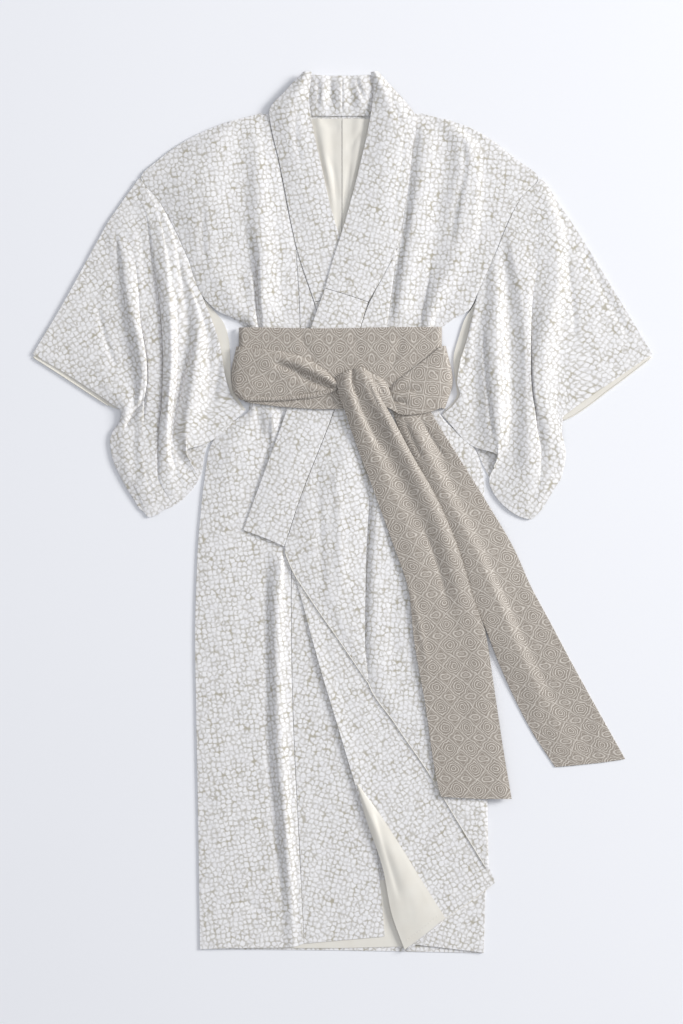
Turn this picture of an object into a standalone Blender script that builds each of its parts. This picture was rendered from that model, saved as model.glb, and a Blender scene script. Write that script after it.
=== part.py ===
"""A kimono robe laid flat on its back with its sash tied, one closed cloth wall for each cut piece.

The tables hold millimetres: x to the right and y up the robe as it lies, z up from the surface to the
piece's underside. Right and left in the names are the wearer's, so the right side is at minus x.
Every piece is a loft through its fold lines: the lines run down the cloth, and a cross-section joins
them at each row.
"""

import bpy
import numpy as np

MM = 0.001
CLOTH_THICK = 1.2
LINING_THICK = 0.8
COLLAR_THICK = 2.0
SASH_THICK = 1.6
SEAM_GAP = 1.0
SASH_LIFT = 2.2
BODY_Z = 2.6
OVERLAP_TOP = 439

# Rows of the body: every body panel has its cross-sections at these heights, so stacked panels bend alike.
BODY_ROWS = (691, 677, 653, 618, 586, 550, 499, 446, 416, 387, 355, 326, 303, 247, 184, 163, 128, 102, 66,
    23, -30, -60, -91, -147, -222, -292, -369, -450, -528, -618, -695)

# The body layers rise over the sash's run behind the waist: height on the robe, share of the full lift.
LIFT_ROWS = ((163, 0), (184, 1), (303, 1), (326, 0))

# Seams and edges shared by the pieces that meet there: x, y.
SIDE_RIGHT = (
    (-141, 698), (-174, 691), (-218, 677), (-270.5, 653), (-321, 618), (-352.5, 586), (-323, 549.5),
    (-270.5, 446), (-249.5, 387), (-221.5, 355), (-162, 325.5), (-167, 247), (-160, 184), (-169, 163),
    (-212.5, 128), (-230, 101.5), (-239, 66.5), (-246, 23), (-254.5, -86), (-258, -222), (-256.5, -327),
    (-253, -513), (-249.5, -763),
)
SIDE_LEFT = (
    (135.5, 698), (163.5, 691), (212.5, 677), (258, 653), (303.5, 618), (342, 586), (310.5, 549.5),
    (263.5, 446), (237, 387), (221.5, 355), (168, 325.5), (168, 247), (166, 184), (168, 163),
    (207.5, 128), (228.5, 101.5), (242.5, 66.5), (247.5, 23), (251, -222), (253, -502), (254, -619.5),
    (249.5, -686), (246, -769.9),
)
CENTRE_BACK = ((-1, 698), (-1, -152), (-1, -765))
COLLAR_SEAM_RIGHT = (
    (-128.5, 698), (-125, 672), (-111, 612.5), (-106, 583), (-81.5, 465.5), (-46.5, 357), (-36, 325.5),
    (-9.5, 247),
)
COLLAR_SEAM_LEFT = (
    (125, 698), (130.5, 686), (121.5, 630), (114.5, 567), (97, 469), (72.5, 416.5), (44.5, 362),
    (25.5, 303), (-15, 177), (-74.5, 23), (-90.5, -26), (-100.5, -59.5),
)
OVERLAP_SEAM_RIGHT = (
    (-81.5, 465.5), (-74.5, 324), (-79.5, 180), (-88.5, -82), (-90, -147), (-88.5, -292), (-83, -439),
    (-74.5, -605.5), (-67.5, -752.5),
)
FRONT_EDGE_RIGHT = ((4.5, 184), (16.5, 23), (34, -327), (65.5, -642), (74.5, -740))
OVERLAP_SEAM_LEFT = (
    (97, 469), (78, 325.5), (58.5, 177), (48, 38.5), (41, -105), (39.5, -229), (44.5, -290.5),
)
PLEAT_EDGE = (
    (-100.5, -59.5), (-85, -107), (-55, -150.5), (-11.5, -213.5), (34, -280), (83, -355), (132, -422),
    (169, -486.5), (209, -549.5), (246, -609), (251, -619.5),
)

# Fold lines of each piece, from its left edge to its right one, top to bottom: x, y, z.
FRONT_RIGHT_FOLDS = (
    ((-197, 684, 4), (-221.5, 635, 11), (-237, 548, 12), (-239, 478, 9), (-228.5, 439, 8),
     (-200.5, 387, 9), (-179.5, 355, 8), (-156.5, 325.5, 4), (-158.5, 247, 3), (-155, 184, 4),
     (-162, 163, 5), (-186.5, 128, 6), (-197, 23, 4), (-200.5, -327, 3), (-200.5, -761, 2.6)),
    ((-172.5, 691, 3), (-177.5, 677, 4), (-170.5, 600, 4), (-174, 513, 5), (-162, 446, 3.4),
     (-149.5, 373, 2.8), (-146, 325.5, 2.6), (-148, 177, 2.6), (-141, 128, 2.8), (-134, 58, 2.6),
     (-137.5, -59.5, 2.6), (-134, -194, 2.8), (-130.5, -402.5, 2.8), (-114.5, -549.5, 2.8),
     (-107.5, -686, 2.6), (-104, -759.5, 2.6)),
    ((-151.5, 695, 3), (-153, 677, 5), (-148, 600, 13), (-146, 513, 14), (-142.5, 446, 14),
     (-141, 373, 13), (-137.5, 325.5, 6), (-134, 247, 2.6), (-127, 184, 6), (-125, 156, 9),
     (-123.5, 128, 5), (-121.5, 105, 2.8), (-118, 23, 2.6), (-116.5, -59.5, 2.6), (-116.5, -108.5, 8),
     (-114.5, -152, 10), (-111, -327, 10), (-100.5, -513, 10), (-90, -677, 7), (-86.5, -758, 4)),
    ((-135.5, 696.5, 3), (-137.5, 677, 4), (-125, 583, 6), (-109.5, 446, 5), (-102.5, 325.5, 3.4),
     (-104, 247, 2.6), (-102.5, 177, 2.8), (-100.5, 101.5, 2.8), (-100.5, -59.5, 2.6), (-99, -147, 4.5),
     (-97, -327, 5), (-88.5, -513, 4.5), (-78, -677, 3.4), (-76, -756, 2.8)),
)
FRONT_LEFT_FOLDS = (
    ((142.5, 695, 3.4), (142.5, 635, 9), (130.5, 548, 10), (114.5, 446, 10), (100.5, 355, 9),
     (95.5, 325.5, 5), (88.5, 247, 4.2), (79.5, 177, 5), (69, 101.5, 8), (64, 23, 9), (57, -105, 9.5),
     (57, -222, 9), (64, -292, 8), (99, -359, 6.4), (148, -423.5, 6.4), (183, -486.5, 6.4),
     (219.5, -549.5, 6.4), (247.5, -609, 6.4), (251.5, -619.5, 6.4)),
    ((160, 691, 3), (177.5, 635, 5), (170.5, 548, 4.5), (156.5, 446, 4), (141, 387, 3.2), (127, 325.5, 3),
     (118, 247, 3), (109.5, 177, 4), (107.5, 101.5, 6), (100.5, 23, 6.4), (92, -152, 6.4),
     (97, -292, 6.4), (127, -369, 6.4), (165.5, -432, 6.4), (197, -493.5, 6.4), (226.5, -553, 6.4),
     (249.5, -609, 6.4), (252, -619.5, 6.4)),
    ((181, 688, 3.4), (218, 635, 11), (212.5, 548, 11), (198.5, 446, 9), (167, 387, 10),
     (149.5, 325.5, 7), (142.5, 247, 3), (139, 177, 4), (160, 101.5, 5), (163.5, 23, 6),
     (163.5, -152, 6.4), (170.5, -292, 6.4), (184.5, -369, 6.4), (205.5, -450, 6.4), (225, -513, 6.4),
     (240.5, -565, 6.4), (250.5, -609, 6.4), (252.5, -619.5, 6.4)),
    ((197, 682.5, 3.4), (247.5, 635, 5), (251, 548, 6), (230, 446, 5), (198.5, 387, 5), (160, 325.5, 3.4),
     (158.5, 247, 3), (153, 177, 3), (198.5, 101.5, 4), (216, 23, 5), (219.5, -152, 6), (223, -327, 6),
     (230, -450, 6.4), (240.5, -513, 6.4), (248.5, -565, 6.4), (251.5, -609, 6.4), (253, -619.5, 6.4)),
)
SIDE_RIGHT_Z = (
    (698, 5), (677, 3.4), (586, 3.4), (446, 3.6), (387, 4), (355, 5), (325.5, 2.8), (247, 2.6),
    (128, 2.6), (-763, 2.2),
)
RIGHT_EDGE_Z = ((698, 5.5), (672, 4.4), (612.5, 3.6), (465.5, 2.6), (-752.5, 2.6))
LEFT_EDGE_Z = (
    (698, 5.5), (672, 4.4), (612.5, 4), (469, 4.4), (325.5, 4.4), (247, 4.6), (177, 5), (38.5, 4.6),
    (-105, 5), (-229, 6.4), (-619.5, 6.4),
)
COLLAR_SIDE_Z = ((469, 5.8), (303, 6), (177, 6.2), (23, 6.6), (-60, 6.4), (-291, 6.4))
SIDE_LEFT_Z = (
    (691, 3.2), (586, 3.6), (549.5, 6), (499, 9), (446, 6), (387, 4), (325.5, 2.8), (23, 2.8), (-450, 3),
    (-565, 6), (-618, 6.4),
)
OVERLAP_LEFT_FOLDS = (
    ((87, 439, 5.6), (66.5, 387, 5.6), (44.5, 325.5, 6), (18.5, 247, 6), (-1, 177, 6.2), (-43, 75, 7),
     (-69, -12, 8), (-69, -107, 6.6), (-36, -163, 6.4), (-1, -217, 6.4), (37, -280, 6.4),
     (41.5, -290.5, 6.4)),
    ((90.5, 439, 5), (76, 387, 5), (62, 325.5, 5), (41, 247, 5.4), (25.5, 177, 5.6), (2.5, 75, 9.5),
     (-11.5, -12, 10), (-18.5, -105, 9), (-8, -173, 7.5), (16.5, -229, 7), (38.5, -280, 6.4),
     (43, -290.5, 6.4)),
)
STRIP = (
    ((-99, -66.5, 4.4), (-78, -128, 4.6), (-55, -213.5, 6.5), (-39.5, -269.5, 8), (-11.5, -362, 8),
     (9.5, -432, 8), (39.5, -532, 7), (69, -623, 6), (83, -696.5, 5), (107.5, -766.5, 4.2)),
    ((-93.5, -70, 4.4), (-64, -138, 4.6), (-30.5, -222, 5), (16.5, -362, 5), (76, -502, 5),
     (118, -623, 4.8), (156.5, -724.5, 4.4)),
    ((-86.5, -75, 4.4), (-43, -145, 4.4), (13, -240, 4.4), (74.5, -362, 4.4), (149.5, -502, 4.4),
     (188, -607, 4.4), (216, -684, 4.4)),
    ((-79.5, -79, 4.4), (-22, -152, 4.4), (39.5, -240, 4.4), (100.5, -327, 4.4), (170.5, -441, 4.4),
     (230, -548, 4.4), (251, -607, 4.4), (267, -646, 4)),
)
LINING_FLAP = (
    ((25.5, -474, 9.6), (41, -532, 8.6), (71, -623, 8), (85, -696.5, 7.6), (108.5, -763, 6.4)),
    ((26, -474, 9.8), (55, -541, 12), (97, -623, 11), (125, -696.5, 9.6), (142.5, -737, 7.6)),
    ((27, -474, 9.8), (69, -532, 8.2), (109.5, -595, 7.6), (142.5, -649, 7.2), (179.5, -707, 7)),
)
SIDE_HEM_LEFT = (
    ((92, -668.5, 2.6), (106, -712, 2.6), (121.5, -754, 2.6)),
    ((153, -590, 2.6), (160, -677, 2.6), (181, -761, 2.6)),
    ((251, -528.5, 2.6), (250, -642, 2.6), (247, -769, 2.6)),
)
LINING_HEM = (
    ((-193.5, -642, 1.5), (-190, -761, 1.5)),
    ((-22, -642, 1.5), (-22, -761, 1.5)),
    ((76, -642, 1.5), (118, -758, 1.5)),
)
BACK_LINING_RIGHT = (
    ((-74.5, 689.5, 1.5), (-58.5, 618, 1.5), (-43, 541, 1.5), (-25.5, 450, 1.5)),
    ((-55, 689.5, 1.6), (-39.5, 618, 1.6), (-23.5, 541, 1.6), (-15, 450, 1.5)),
    ((-39.5, 689.5, 4), (-29, 618, 5), (-16.5, 541, 2.6), (-9.5, 450, 1.5)),
    ((-20, 689.5, 2), (-15, 618, 2.4), (-9.5, 541, 2), (-6, 450, 1.5)),
    ((-1.5, 689.5, 3), (-1.5, 618, 3.4), (-1.5, 541, 2.2), (-1.5, 450, 1.5)),
)
BACK_LINING_LEFT = (
    ((-0.5, 689.5, 3), (-0.5, 618, 3.4), (-0.5, 541, 2.2), (-0.5, 450, 1.5)),
    ((15, 689.5, 2), (13, 618, 2.2), (6, 541, 2), (2.5, 450, 1.5)),
    ((30.5, 689.5, 4), (23.5, 618, 3.6), (10.5, 541, 2), (8, 450, 1.5)),
    ((48, 689.5, 1.6), (32.5, 618, 1.6), (16.5, 541, 1.5), (13, 450, 1.5)),
    ((65.5, 689.5, 1.5), (50, 618, 1.5), (34, 541, 1.5), (16.5, 450, 1.5)),
)
COLLAR_COVER_RIGHT = (
    ((-68, 769, 8), (-99, 737, 9), (-128, 700, 7), (-124, 672, 5), (-110, 612.5, 4), (-104, 583, 3.6),
     (-80.5, 465.5, 2.8), (-49, 369, 2.8)),
    ((-63, 770, 12), (-79.5, 731.5, 14), (-92, 696.5, 12), (-86.5, 665, 9), (-72.5, 609, 7),
     (-60.5, 548, 5.6), (-43, 472.5, 3.2), (-15, 378, 2.8)),
    ((-54, 770, 10), (-58.5, 723, 10), (-55, 693, 8), (-39.5, 618, 6), (-22, 541, 4.4), (-4.5, 480.5, 3),
     (16.5, 425, 2.8), (26, 393, 2.8)),
)
COLLAR_COVER_LEFT = (
    ((50, 769, 10), (55, 745.5, 10), (49, 693, 9), (32.5, 616, 7), (16.5, 553, 6.2), (-4.5, 480.5, 5.8),
     (-16.5, 443, 5.6), (-30.5, 393, 5.6)),
    ((56, 770, 13), (74.5, 728, 15), (88.5, 693, 13), (76, 618, 10), (65.5, 548, 8), (48, 472.5, 7),
     (32.5, 434, 6.6), (8, 381.5, 6.4)),
    ((62, 769, 9), (93.5, 735, 9), (123.5, 698, 7), (121, 630, 5), (114, 567, 4), (96, 469, 5),
     (72, 416.5, 5.8), (44.5, 369, 5.8)),
)
COLLAR_RIGHT = (
    ((-48, 366, 2.8), (-45.5, 357, 2.8), (-30, 311.5, 2.8)),
    ((-13, 374.5, 2.8), (8, 311.5, 2.8)),
    ((26, 389.5, 2.8), (44.5, 311.5, 2.8)),
)
COLLAR_LEFT = (
    ((-31.5, 389.5, 5.6), (-55, 324, 7.6), (-76, 254, 7.6), (-97, 182, 7.6), (-135.5, 75, 6.4),
     (-174, -30, 5)),
    ((6, 377, 6.4), (-11.5, 324, 8.2), (-30.5, 254, 8.2), (-51.5, 182, 8.2), (-102.5, 58, 8),
     (-135.5, -44, 6)),
    ((44, 366, 5.8), (24.5, 303, 7.6), (5, 240, 7.6), (-16, 177, 7.6), (-75.5, 23, 7), (-91.5, -26, 6.2),
     (-102, -58.5, 5.6)),
)
# The collar behind the neck is folded lengthwise: up the inside, over, and down to the surface.
COLLAR_BACK = (
    ((-51.5, 694, 4), (-53.5, 728, 8), (-51, 758, 10.5), (-51, 765.5, 9), (-51, 766, 3), (-51, 759.5, 0),
     (-51.5, 703.5, 0)),
    ((-36, 694, 4), (-36, 728, 11), (-34, 758, 12), (-34, 765, 9), (-34, 765, 3), (-34, 758, 0),
     (-36, 703.5, 0)),
    ((-22, 694, 4), (-22, 728, 7), (-20, 758, 9.5), (-20, 764, 8), (-20, 764.5, 3), (-20, 758, 0),
     (-22, 703.5, 0)),
    ((-2.5, 694, 4), (-2.5, 728, 10), (-2.5, 758, 11.5), (-2.5, 764, 9), (-2.5, 764.5, 3), (-2.5, 758, 0),
     (-2.5, 703.5, 0)),
    ((15, 694, 4), (15, 728, 7), (13, 758, 9.5), (13, 764, 8), (13, 764.5, 3), (13, 758, 0),
     (15, 703.5, 0)),
    ((30.5, 694, 4), (32.5, 728, 11), (30.5, 758, 12), (30.5, 765, 9), (30.5, 765, 3), (30.5, 758, 0),
     (30.5, 703.5, 0)),
    ((44.5, 694, 4), (50, 728, 8), (46.5, 758, 10.5), (46.5, 765.5, 9), (46.5, 766, 3), (46.5, 759.5, 0),
     (44.5, 703.5, 0)),
)
SLEEVE_FRONT_RIGHT = (
    ((-541.5, 278, 3), (-491, 248.5, 3.4), (-442, 217, 4), (-403.5, 192.5, 5), (-386, 178.5, 5),
     (-401.5, 152, 4), (-403.5, 117, 4), (-386, 66.5, 3.6), (-354.5, 7, 3)),
    ((-491, 362, 3), (-449, 294, 5), (-410.5, 224, 6), (-379, 184, 6), (-382.5, 145, 8), (-379, 101.5, 7),
     (-349, 3.5, 3)),
    ((-426, 479.5, 3), (-403.5, 425, 3.4), (-391, 355, 3.4), (-372, 282, 4), (-359.5, 224, 5),
     (-361.5, 180, 3.4), (-365, 128, 6), (-361.5, 58, 7), (-338.5, -7, 3)),
    ((-407, 513, 3), (-382.5, 460, 12), (-373.5, 373, 14), (-354.5, 294, 16), (-340.5, 241.5, 16),
     (-344, 198, 13), (-352.5, 145, 9), (-347.5, 75, 9), (-323, -2, 3)),
    ((-379, 553, 3), (-354.5, 495, 5), (-344, 425, 5), (-333.5, 338, 4), (-324.5, 268, 4), (-328, 180, 4),
     (-335, 119, 5), (-331.5, 58, 5), (-307, 9, 3)),
    ((-356, 583, 3.4), (-327, 527, 13), (-310.5, 443, 14), (-302, 355, 16), (-302, 268, 17),
     (-305.5, 198, 17), (-309, 128, 15), (-303.5, 66.5, 8), (-288, 23, 3)),
    ((-305, 509, 3.6), (-288, 457, 5), (-277.5, 390, 4), (-270.5, 320, 4), (-281, 233, 4),
     (-291.5, 163, 4), (-291.5, 119, 4), (-274, 79, 4), (-253, 61, 3)),
    ((-273.5, 446, 3.6), (-261.5, 399, 9), (-249.5, 338, 13), (-254.5, 276.5, 15), (-261.5, 215, 16),
     (-270.5, 163, 15), (-274, 107, 9)),
    ((-264.5, 415, 3.6), (-242.5, 367.5, 5), (-230, 303, 5), (-230, 233, 5), (-233.5, 180, 5),
     (-235.5, 122.5, 3.4)),
    ((-258, 384.5, 4), (-229, 346.5, 5.4), (-213.5, 290.5, 7), (-205, 240, 7), (-196, 210, 6),
     (-171.5, 177.5, 3.4)),
)
SLEEVE_FRONT_LEFT = (
    ((238, 385, 4), (228.5, 350, 5.4), (218, 304.5, 8), (205.5, 266, 8), (200.5, 227.5, 7),
     (205.5, 208, 6), (197, 192.5, 5), (174, 171.5, 3.4)),
    ((250.5, 415, 4), (244, 364, 5), (232, 294, 5), (230, 233, 5), (230, 180, 5), (227.5, 117, 3.4)),
    ((264, 443, 5), (268.5, 373, 11), (267, 311.5, 14), (268.5, 233, 16), (270.5, 163, 15), (272, 99, 9)),
    ((276.5, 472, 7), (284.5, 408, 5), (286, 338, 4), (286, 250, 4), (288, 163, 4), (288, 110, 4),
     (274, 82, 4), (256.5, 58, 3)),
    ((289, 498, 9), (298.5, 443, 13), (305.5, 373, 16), (307, 285, 17), (309, 198, 17), (316, 128, 15),
     (323, 49, 9), (314, -7, 3)),
    ((318.5, 552, 6), (324.5, 495, 6), (330, 408, 5), (328, 338, 4), (324.5, 268, 4), (326.5, 198, 4),
     (337, 128, 5), (345.5, 58, 5), (330, -10.5, 3)),
    ((345, 582, 4), (365, 495, 11), (368.5, 408, 13), (356, 346.5, 14), (345.5, 285, 16), (344, 224, 16),
     (351, 180, 14), (359.5, 128, 11), (363, 75, 7), (345.5, 3.5, 3)),
    ((380.5, 537, 3.4), (391, 451.5, 5), (386, 355, 5), (373.5, 285, 5), (365, 215, 6), (363, 163, 7),
     (372, 119, 7), (375.5, 84, 6), (361.5, 28, 3)),
    ((457.5, 416.5, 3), (454, 338, 4), (433, 268, 5), (398, 205, 5), (377, 166, 5), (375.5, 135, 5),
     (382.5, 100, 5), (372, 45.5, 3)),
    ((541.5, 278, 3), (468, 227.5, 3.4), (400, 180, 5), (384, 166, 5), (382.5, 145, 4), (389.5, 103, 4),
     (380.5, 58, 3)),
)
SLEEVE_BACK_RIGHT = (
    ((-541.5, 274), (-491, 244), (-442, 212.5), (-407, 189), (-401.5, 149), (-400, 117), (-384, 70),
     (-352.5, 12)),
    ((-484, 371), (-407, 198), (-354.5, 75), (-319.5, 5)),
    ((-426, 476), (-354.5, 285), (-302, 145), (-247.5, 68)),
    ((-382.5, 544), (-319.5, 373), (-284.5, 233), (-239, 117)),
    ((-353.5, 583), (-325.5, 546), (-273, 443), (-251, 385), (-235.5, 360.5), (-214.5, 338), (-203, 306),
     (-201, 254), (-198.5, 224), (-186.5, 201), (-171.5, 180)),
)
SLEEVE_BACK_LEFT = (
    ((239, 383), (226.5, 359), (214.5, 341), (204, 310), (194, 268), (198, 227.5), (200.5, 208),
     (193.5, 194), (175, 175)),
    ((286, 493.5), (258, 373), (240.5, 233), (229, 119)),
    ((315, 549.5), (302, 373), (284.5, 198), (257, 63)),
    ((344, 581), (345.5, 408), (337, 198), (317.5, -3.5)),
    ((436.5, 443), (407, 303), (380.5, 163), (363, 33)),
    ((540, 273), (468, 220.5), (401.5, 173), (384, 161), (380.5, 142), (386, 103), (377, 61)),
)
SASH_BACK = (
    ((-172, 297, 0), (-172, 202, 0)),
    ((168, 297, 0), (168, 202, 0)),
)
SASH_BAND = (
    ((-180, 324, 2.4), (-180, 259, 2.4), (-169, 194, 2.4)),
    ((-178.5, 324, 8), (-178.5, 259, 8), (-167, 194, 8)),
    ((-174, 324, 10.6), (-174, 259, 10.6), (-163.5, 192.5, 10.6)),
    ((-151.5, 324, 11), (-151.5, 257, 11), (-144.5, 190, 11)),
    ((-116.5, 323, 12), (-113, 255.5, 12.4), (-109.5, 185.5, 12)),
    ((-32.5, 322, 13.4), (-32.5, 252, 13.8), (-32.5, 181, 13.4)),
    ((85, 324, 13.4), (85, 255.5, 13.8), (85, 185.5, 13.4)),
    ((142.5, 324.5, 11.6), (142.5, 257, 12), (142.5, 189, 11.6)),
    ((166, 324.5, 10.6), (166, 257, 10.6), (165.5, 191, 10.6)),
    ((170.5, 324.5, 8), (170.5, 257, 8), (170, 191, 8)),
    ((172.5, 324.5, 2.4), (172.5, 257, 2.4), (171.5, 191, 2.4)),
)
SASH_WRAP = (
    ((-184.5, 290.5, 0.6), (-193.5, 240, 0.6), (-190, 212, 0.6), (-176, 198.5, 0.6)),
    ((-183, 290.5, 10), (-191.5, 240, 11), (-188, 212, 11), (-174, 198, 10)),
    ((-177.5, 290, 13.6), (-183, 243, 15), (-179.5, 212, 15), (-167, 198, 13.6)),
    ((-151.5, 287, 14), (-155, 257, 18), (-155, 229, 17), (-148, 196.5, 14)),
    ((-120, 283.5, 15), (-120, 264, 21), (-120, 236, 16.4), (-120, 196, 15)),
    ((-69, 271, 16.4), (-69, 255.5, 24), (-69, 233, 17), (-69, 198.5, 16)),
    ((-36, 252, 17), (-36, 240, 25), (-36, 224, 18), (-36, 204, 16.6)),
    ((-10.5, 229, 17.6), (-10, 225, 21), (-10, 220.5, 20), (-9.5, 214.5, 17)),
)
SASH_LOOP = (
    ((74.5, 203, 16), (83, 192.5, 17), (97, 172.5, 16)),
    ((86.5, 221.5, 16), (97, 201, 20), (109.5, 171, 16)),
    ((114.5, 245, 15.4), (121.5, 210, 21), (128.5, 172, 15.4)),
    ((149.5, 272, 14.4), (155, 226, 20), (155, 177, 14)),
    ((176, 291.5, 13), (183, 236, 15), (173, 183, 12.6)),
    ((178.5, 291.5, 9), (190, 233, 10), (176.5, 182, 9)),
    ((179.5, 291.5, 0.6), (191.5, 231, 0.6), (177.5, 182, 0.6)),
)
SASH_KNOT = (
    ((-7, 236, 18.3), (-7, 222, 20.3), (-2.5, 201, 19.3)),
    ((11.5, 246, 22.3), (9.5, 226, 27.3), (16.5, 198, 23.3)),
    ((32.5, 253, 23.3), (32.5, 229, 30.3), (43, 194, 25.3)),
    ((51.5, 243, 22.3), (58.5, 222, 28.3), (71, 187, 23.3)),
    ((74.5, 226.5, 18.3), (81.5, 208, 21.3), (93.5, 177, 18.3)),
)
TAIL_UPPER = (
    ((-3.5, 205, 17), (4.5, 178.5, 16.2), (13, 152, 13.6), (53.5, 42, 12), (86.5, -49, 12),
     (118, -149, 11.6), (123.5, -210, 11.4), (144.5, -334, 11), (167, -478, 10.4), (172.5, -495, 10.4)),
    ((16.5, 205, 18), (27, 178.5, 18), (41, 145, 17), (86.5, 33, 15), (125, -68, 14), (148, -156, 13),
     (156.5, -222, 12.4), (184.5, -345, 11.4), (211, -497.5, 10.4)),
    ((32.5, 205, 17), (48, 178.5, 16.2), (71, 135, 13), (116.5, 40, 12), (160, -61, 12),
     (184.5, -152, 12), (193.5, -222, 12), (218, -348, 11.2), (249.5, -499, 10.4)),
    ((48, 206.5, 18), (65.5, 180, 19.6), (95.5, 128, 21), (142.5, 40, 19), (183, -58, 17),
     (207.5, -149, 14.6), (228.5, -222, 13), (244, -348, 11.6), (277.5, -499, 10)),
    ((62, 206.5, 17), (79.5, 177, 16.4), (123.5, 96, 15), (163.5, 26, 14.6), (198.5, -54, 13.4),
     (228.5, -149, 12.4), (249.5, -210, 11.6), (261.5, -285, 11), (282.5, -425, 9), (295, -499, 8)),
)
TAIL_LOWER = (
    ((100.5, 166, 12), (114.5, 117, 10), (155, 23, 9.4), (193.5, -61, 9.4), (226.5, -147, 9.2),
     (251, -205, 7), (274, -264, 2), (330, -380, 0), (372, -444.5, 0)),
    ((120, 166, 13), (137.5, 124, 17), (184.5, 23, 15), (225, -56, 14), (261.5, -135, 12),
     (296.5, -222, 7), (335, -301, 4), (373.5, -388.5, 1), (410.5, -441, 0)),
    ((137.5, 166, 11), (163.5, 117, 9.6), (212.5, 14, 9.4), (256.5, -75, 8), (289.5, -152, 4),
     (323, -222, 1), (359.5, -296, 0), (419, -388.5, 0), (450.5, -437, 0)),
    ((160, 166, 11), (193.5, 112, 12), (244, 31.5, 8), (300, -63, 3), (330, -129.5, 1), (359.5, -184, 0),
     (405, -269.5, 0), (475, -395.5, 0), (494.5, -430.5, 0)),
)

# Finish of each cloth: colour as linear red, green, blue, and roughness.
FINISHES = {
    "print": ((0.70, 0.70, 0.68), 0.85),
    "lining": ((0.80, 0.75, 0.66), 0.6),
    "sash": ((0.36, 0.32, 0.28), 0.6),
}


def slopes_at(knots, values):
    """Slopes that keep a curve through the values free of overshoot: a crest stays where its row puts it."""
    step = np.diff(knots)[:, None]
    rise = np.diff(values, axis=0) / step
    found = np.zeros_like(values)
    found[0] = rise[0]
    found[-1] = rise[-1]
    turning = rise[:-1] * rise[1:] <= 0
    before = np.where(turning, 1.0, rise[:-1])
    after = np.where(turning, 1.0, rise[1:])
    near = 2 * step[1:] + step[:-1]
    far = step[1:] + 2 * step[:-1]
    found[1:-1] = np.where(turning, 0.0, (near + far) / (near / before + far / after))
    return found


def curve_at(knots, values, places):
    """The smooth curve through the values at the knots, read at the places."""
    knots = np.asarray(knots, float)
    values = np.asarray(values, float)
    slopes = slopes_at(knots, values)
    span = np.clip(np.searchsorted(knots, places, side="right") - 1, 0, len(knots) - 2)
    width = (knots[span + 1] - knots[span])[:, None]
    t = (np.asarray(places)[:, None] - knots[span][:, None]) / width
    start = values[span] * (1 + 2 * t) * (1 - t) ** 2 + slopes[span] * width * t * (1 - t) ** 2
    return start + values[span + 1] * t * t * (3 - 2 * t) + slopes[span + 1] * width * t * t * (t - 1)


def moved(line, across=0.0, height=None):
    """A copy of a shared edge, moved across to leave a seam's gap, with its own height if it has none."""
    return tuple((x + across, y, z[0] if z else height) for x, y, *z in line)


def with_heights(line, heights):
    """An edge of x, y given the heights of a short table of y, z."""
    rows = sorted(heights)
    ys = [y for y, _ in rows]
    zs = [z for _, z in rows]
    return tuple((x, y, float(np.interp(y, ys, zs))) for x, y in line)


def below(line, top):
    """The stretch of an edge under a height, cut where it crosses it."""
    points = np.array(line, float)
    start = curve_at(-points[:, 1], points, np.array([-top]))[0]
    return (tuple(start), *(point for point in line if point[1] < top - 2))


def above(line, bottom):
    """The stretch of an edge over a height, cut where it crosses it."""
    points = np.array(line, float)
    end = curve_at(-points[:, 1], points, np.array([-bottom]))[0]
    return (*(point for point in line if point[1] > bottom + 2), tuple(end))


def drawn(edge):
    """A shared edge with points at the body rows, so that the pieces on both sides of it match."""
    points = np.array(edge, float)
    rows = [y for y in BODY_ROWS if points[-1, 1] + 2 < y < points[0, 1] - 2]
    places = np.array([points[0, 1], *rows, points[-1, 1]])
    return tuple(map(tuple, curve_at(-points[:, 1], points, -places)))


def read_at_rows(lines, rows):
    """Each line read where it crosses the shared rows, with its own two ends."""
    top = min(line[0][1] for line in lines) - 5
    bottom = max(line[-1][1] for line in lines) + 5
    inner = [y for y in rows if bottom < y < top]
    found = []
    for line in lines:
        points = np.array(line, float)
        places = np.array([points[0, 1], *inner, points[-1, 1]])
        found.append(curve_at(-points[:, 1], points, -places))
    return np.array(found)


def read_by_length(lines, count, axes=2):
    """Each line read at equal shares of its own length, seen from above, or in space with three axes."""
    found = []
    for line in lines:
        points = np.array(line, float)
        run = np.concatenate([[0], np.cumsum(np.linalg.norm(np.diff(points[:, :axes], axis=0), axis=1))])
        found.append(curve_at(run, points, np.linspace(0, run[-1], count)))
    return np.array(found)


def sections_across(read, steps):
    """Cross-sections through the lines, with this many steps between each two of them."""
    rows = []
    for section in np.swapaxes(read, 0, 1):
        run = np.concatenate([[0], np.cumsum(np.linalg.norm(np.diff(section, axis=0), axis=1))])
        places = np.interp(np.arange((len(run) - 1) * steps + 1) / steps, np.arange(len(run)), run)
        rows.append(curve_at(run, section, places))
    return np.array(rows)


def lift_at(y):
    return SASH_LIFT * np.interp(y, [row for row, _ in LIFT_ROWS], [share for _, share in LIFT_ROWS])


def material_of(name):
    found = bpy.data.materials.new(name)
    found.use_nodes = True
    shader = found.node_tree.nodes["Principled BSDF"]
    colour, roughness = FINISHES[name.split("_")[0]]
    shader.inputs["Base Color"].default_value = (*colour, 1.0)
    shader.inputs["Roughness"].default_value = roughness
    shader.inputs["Metallic"].default_value = 0.0
    return found


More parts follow.
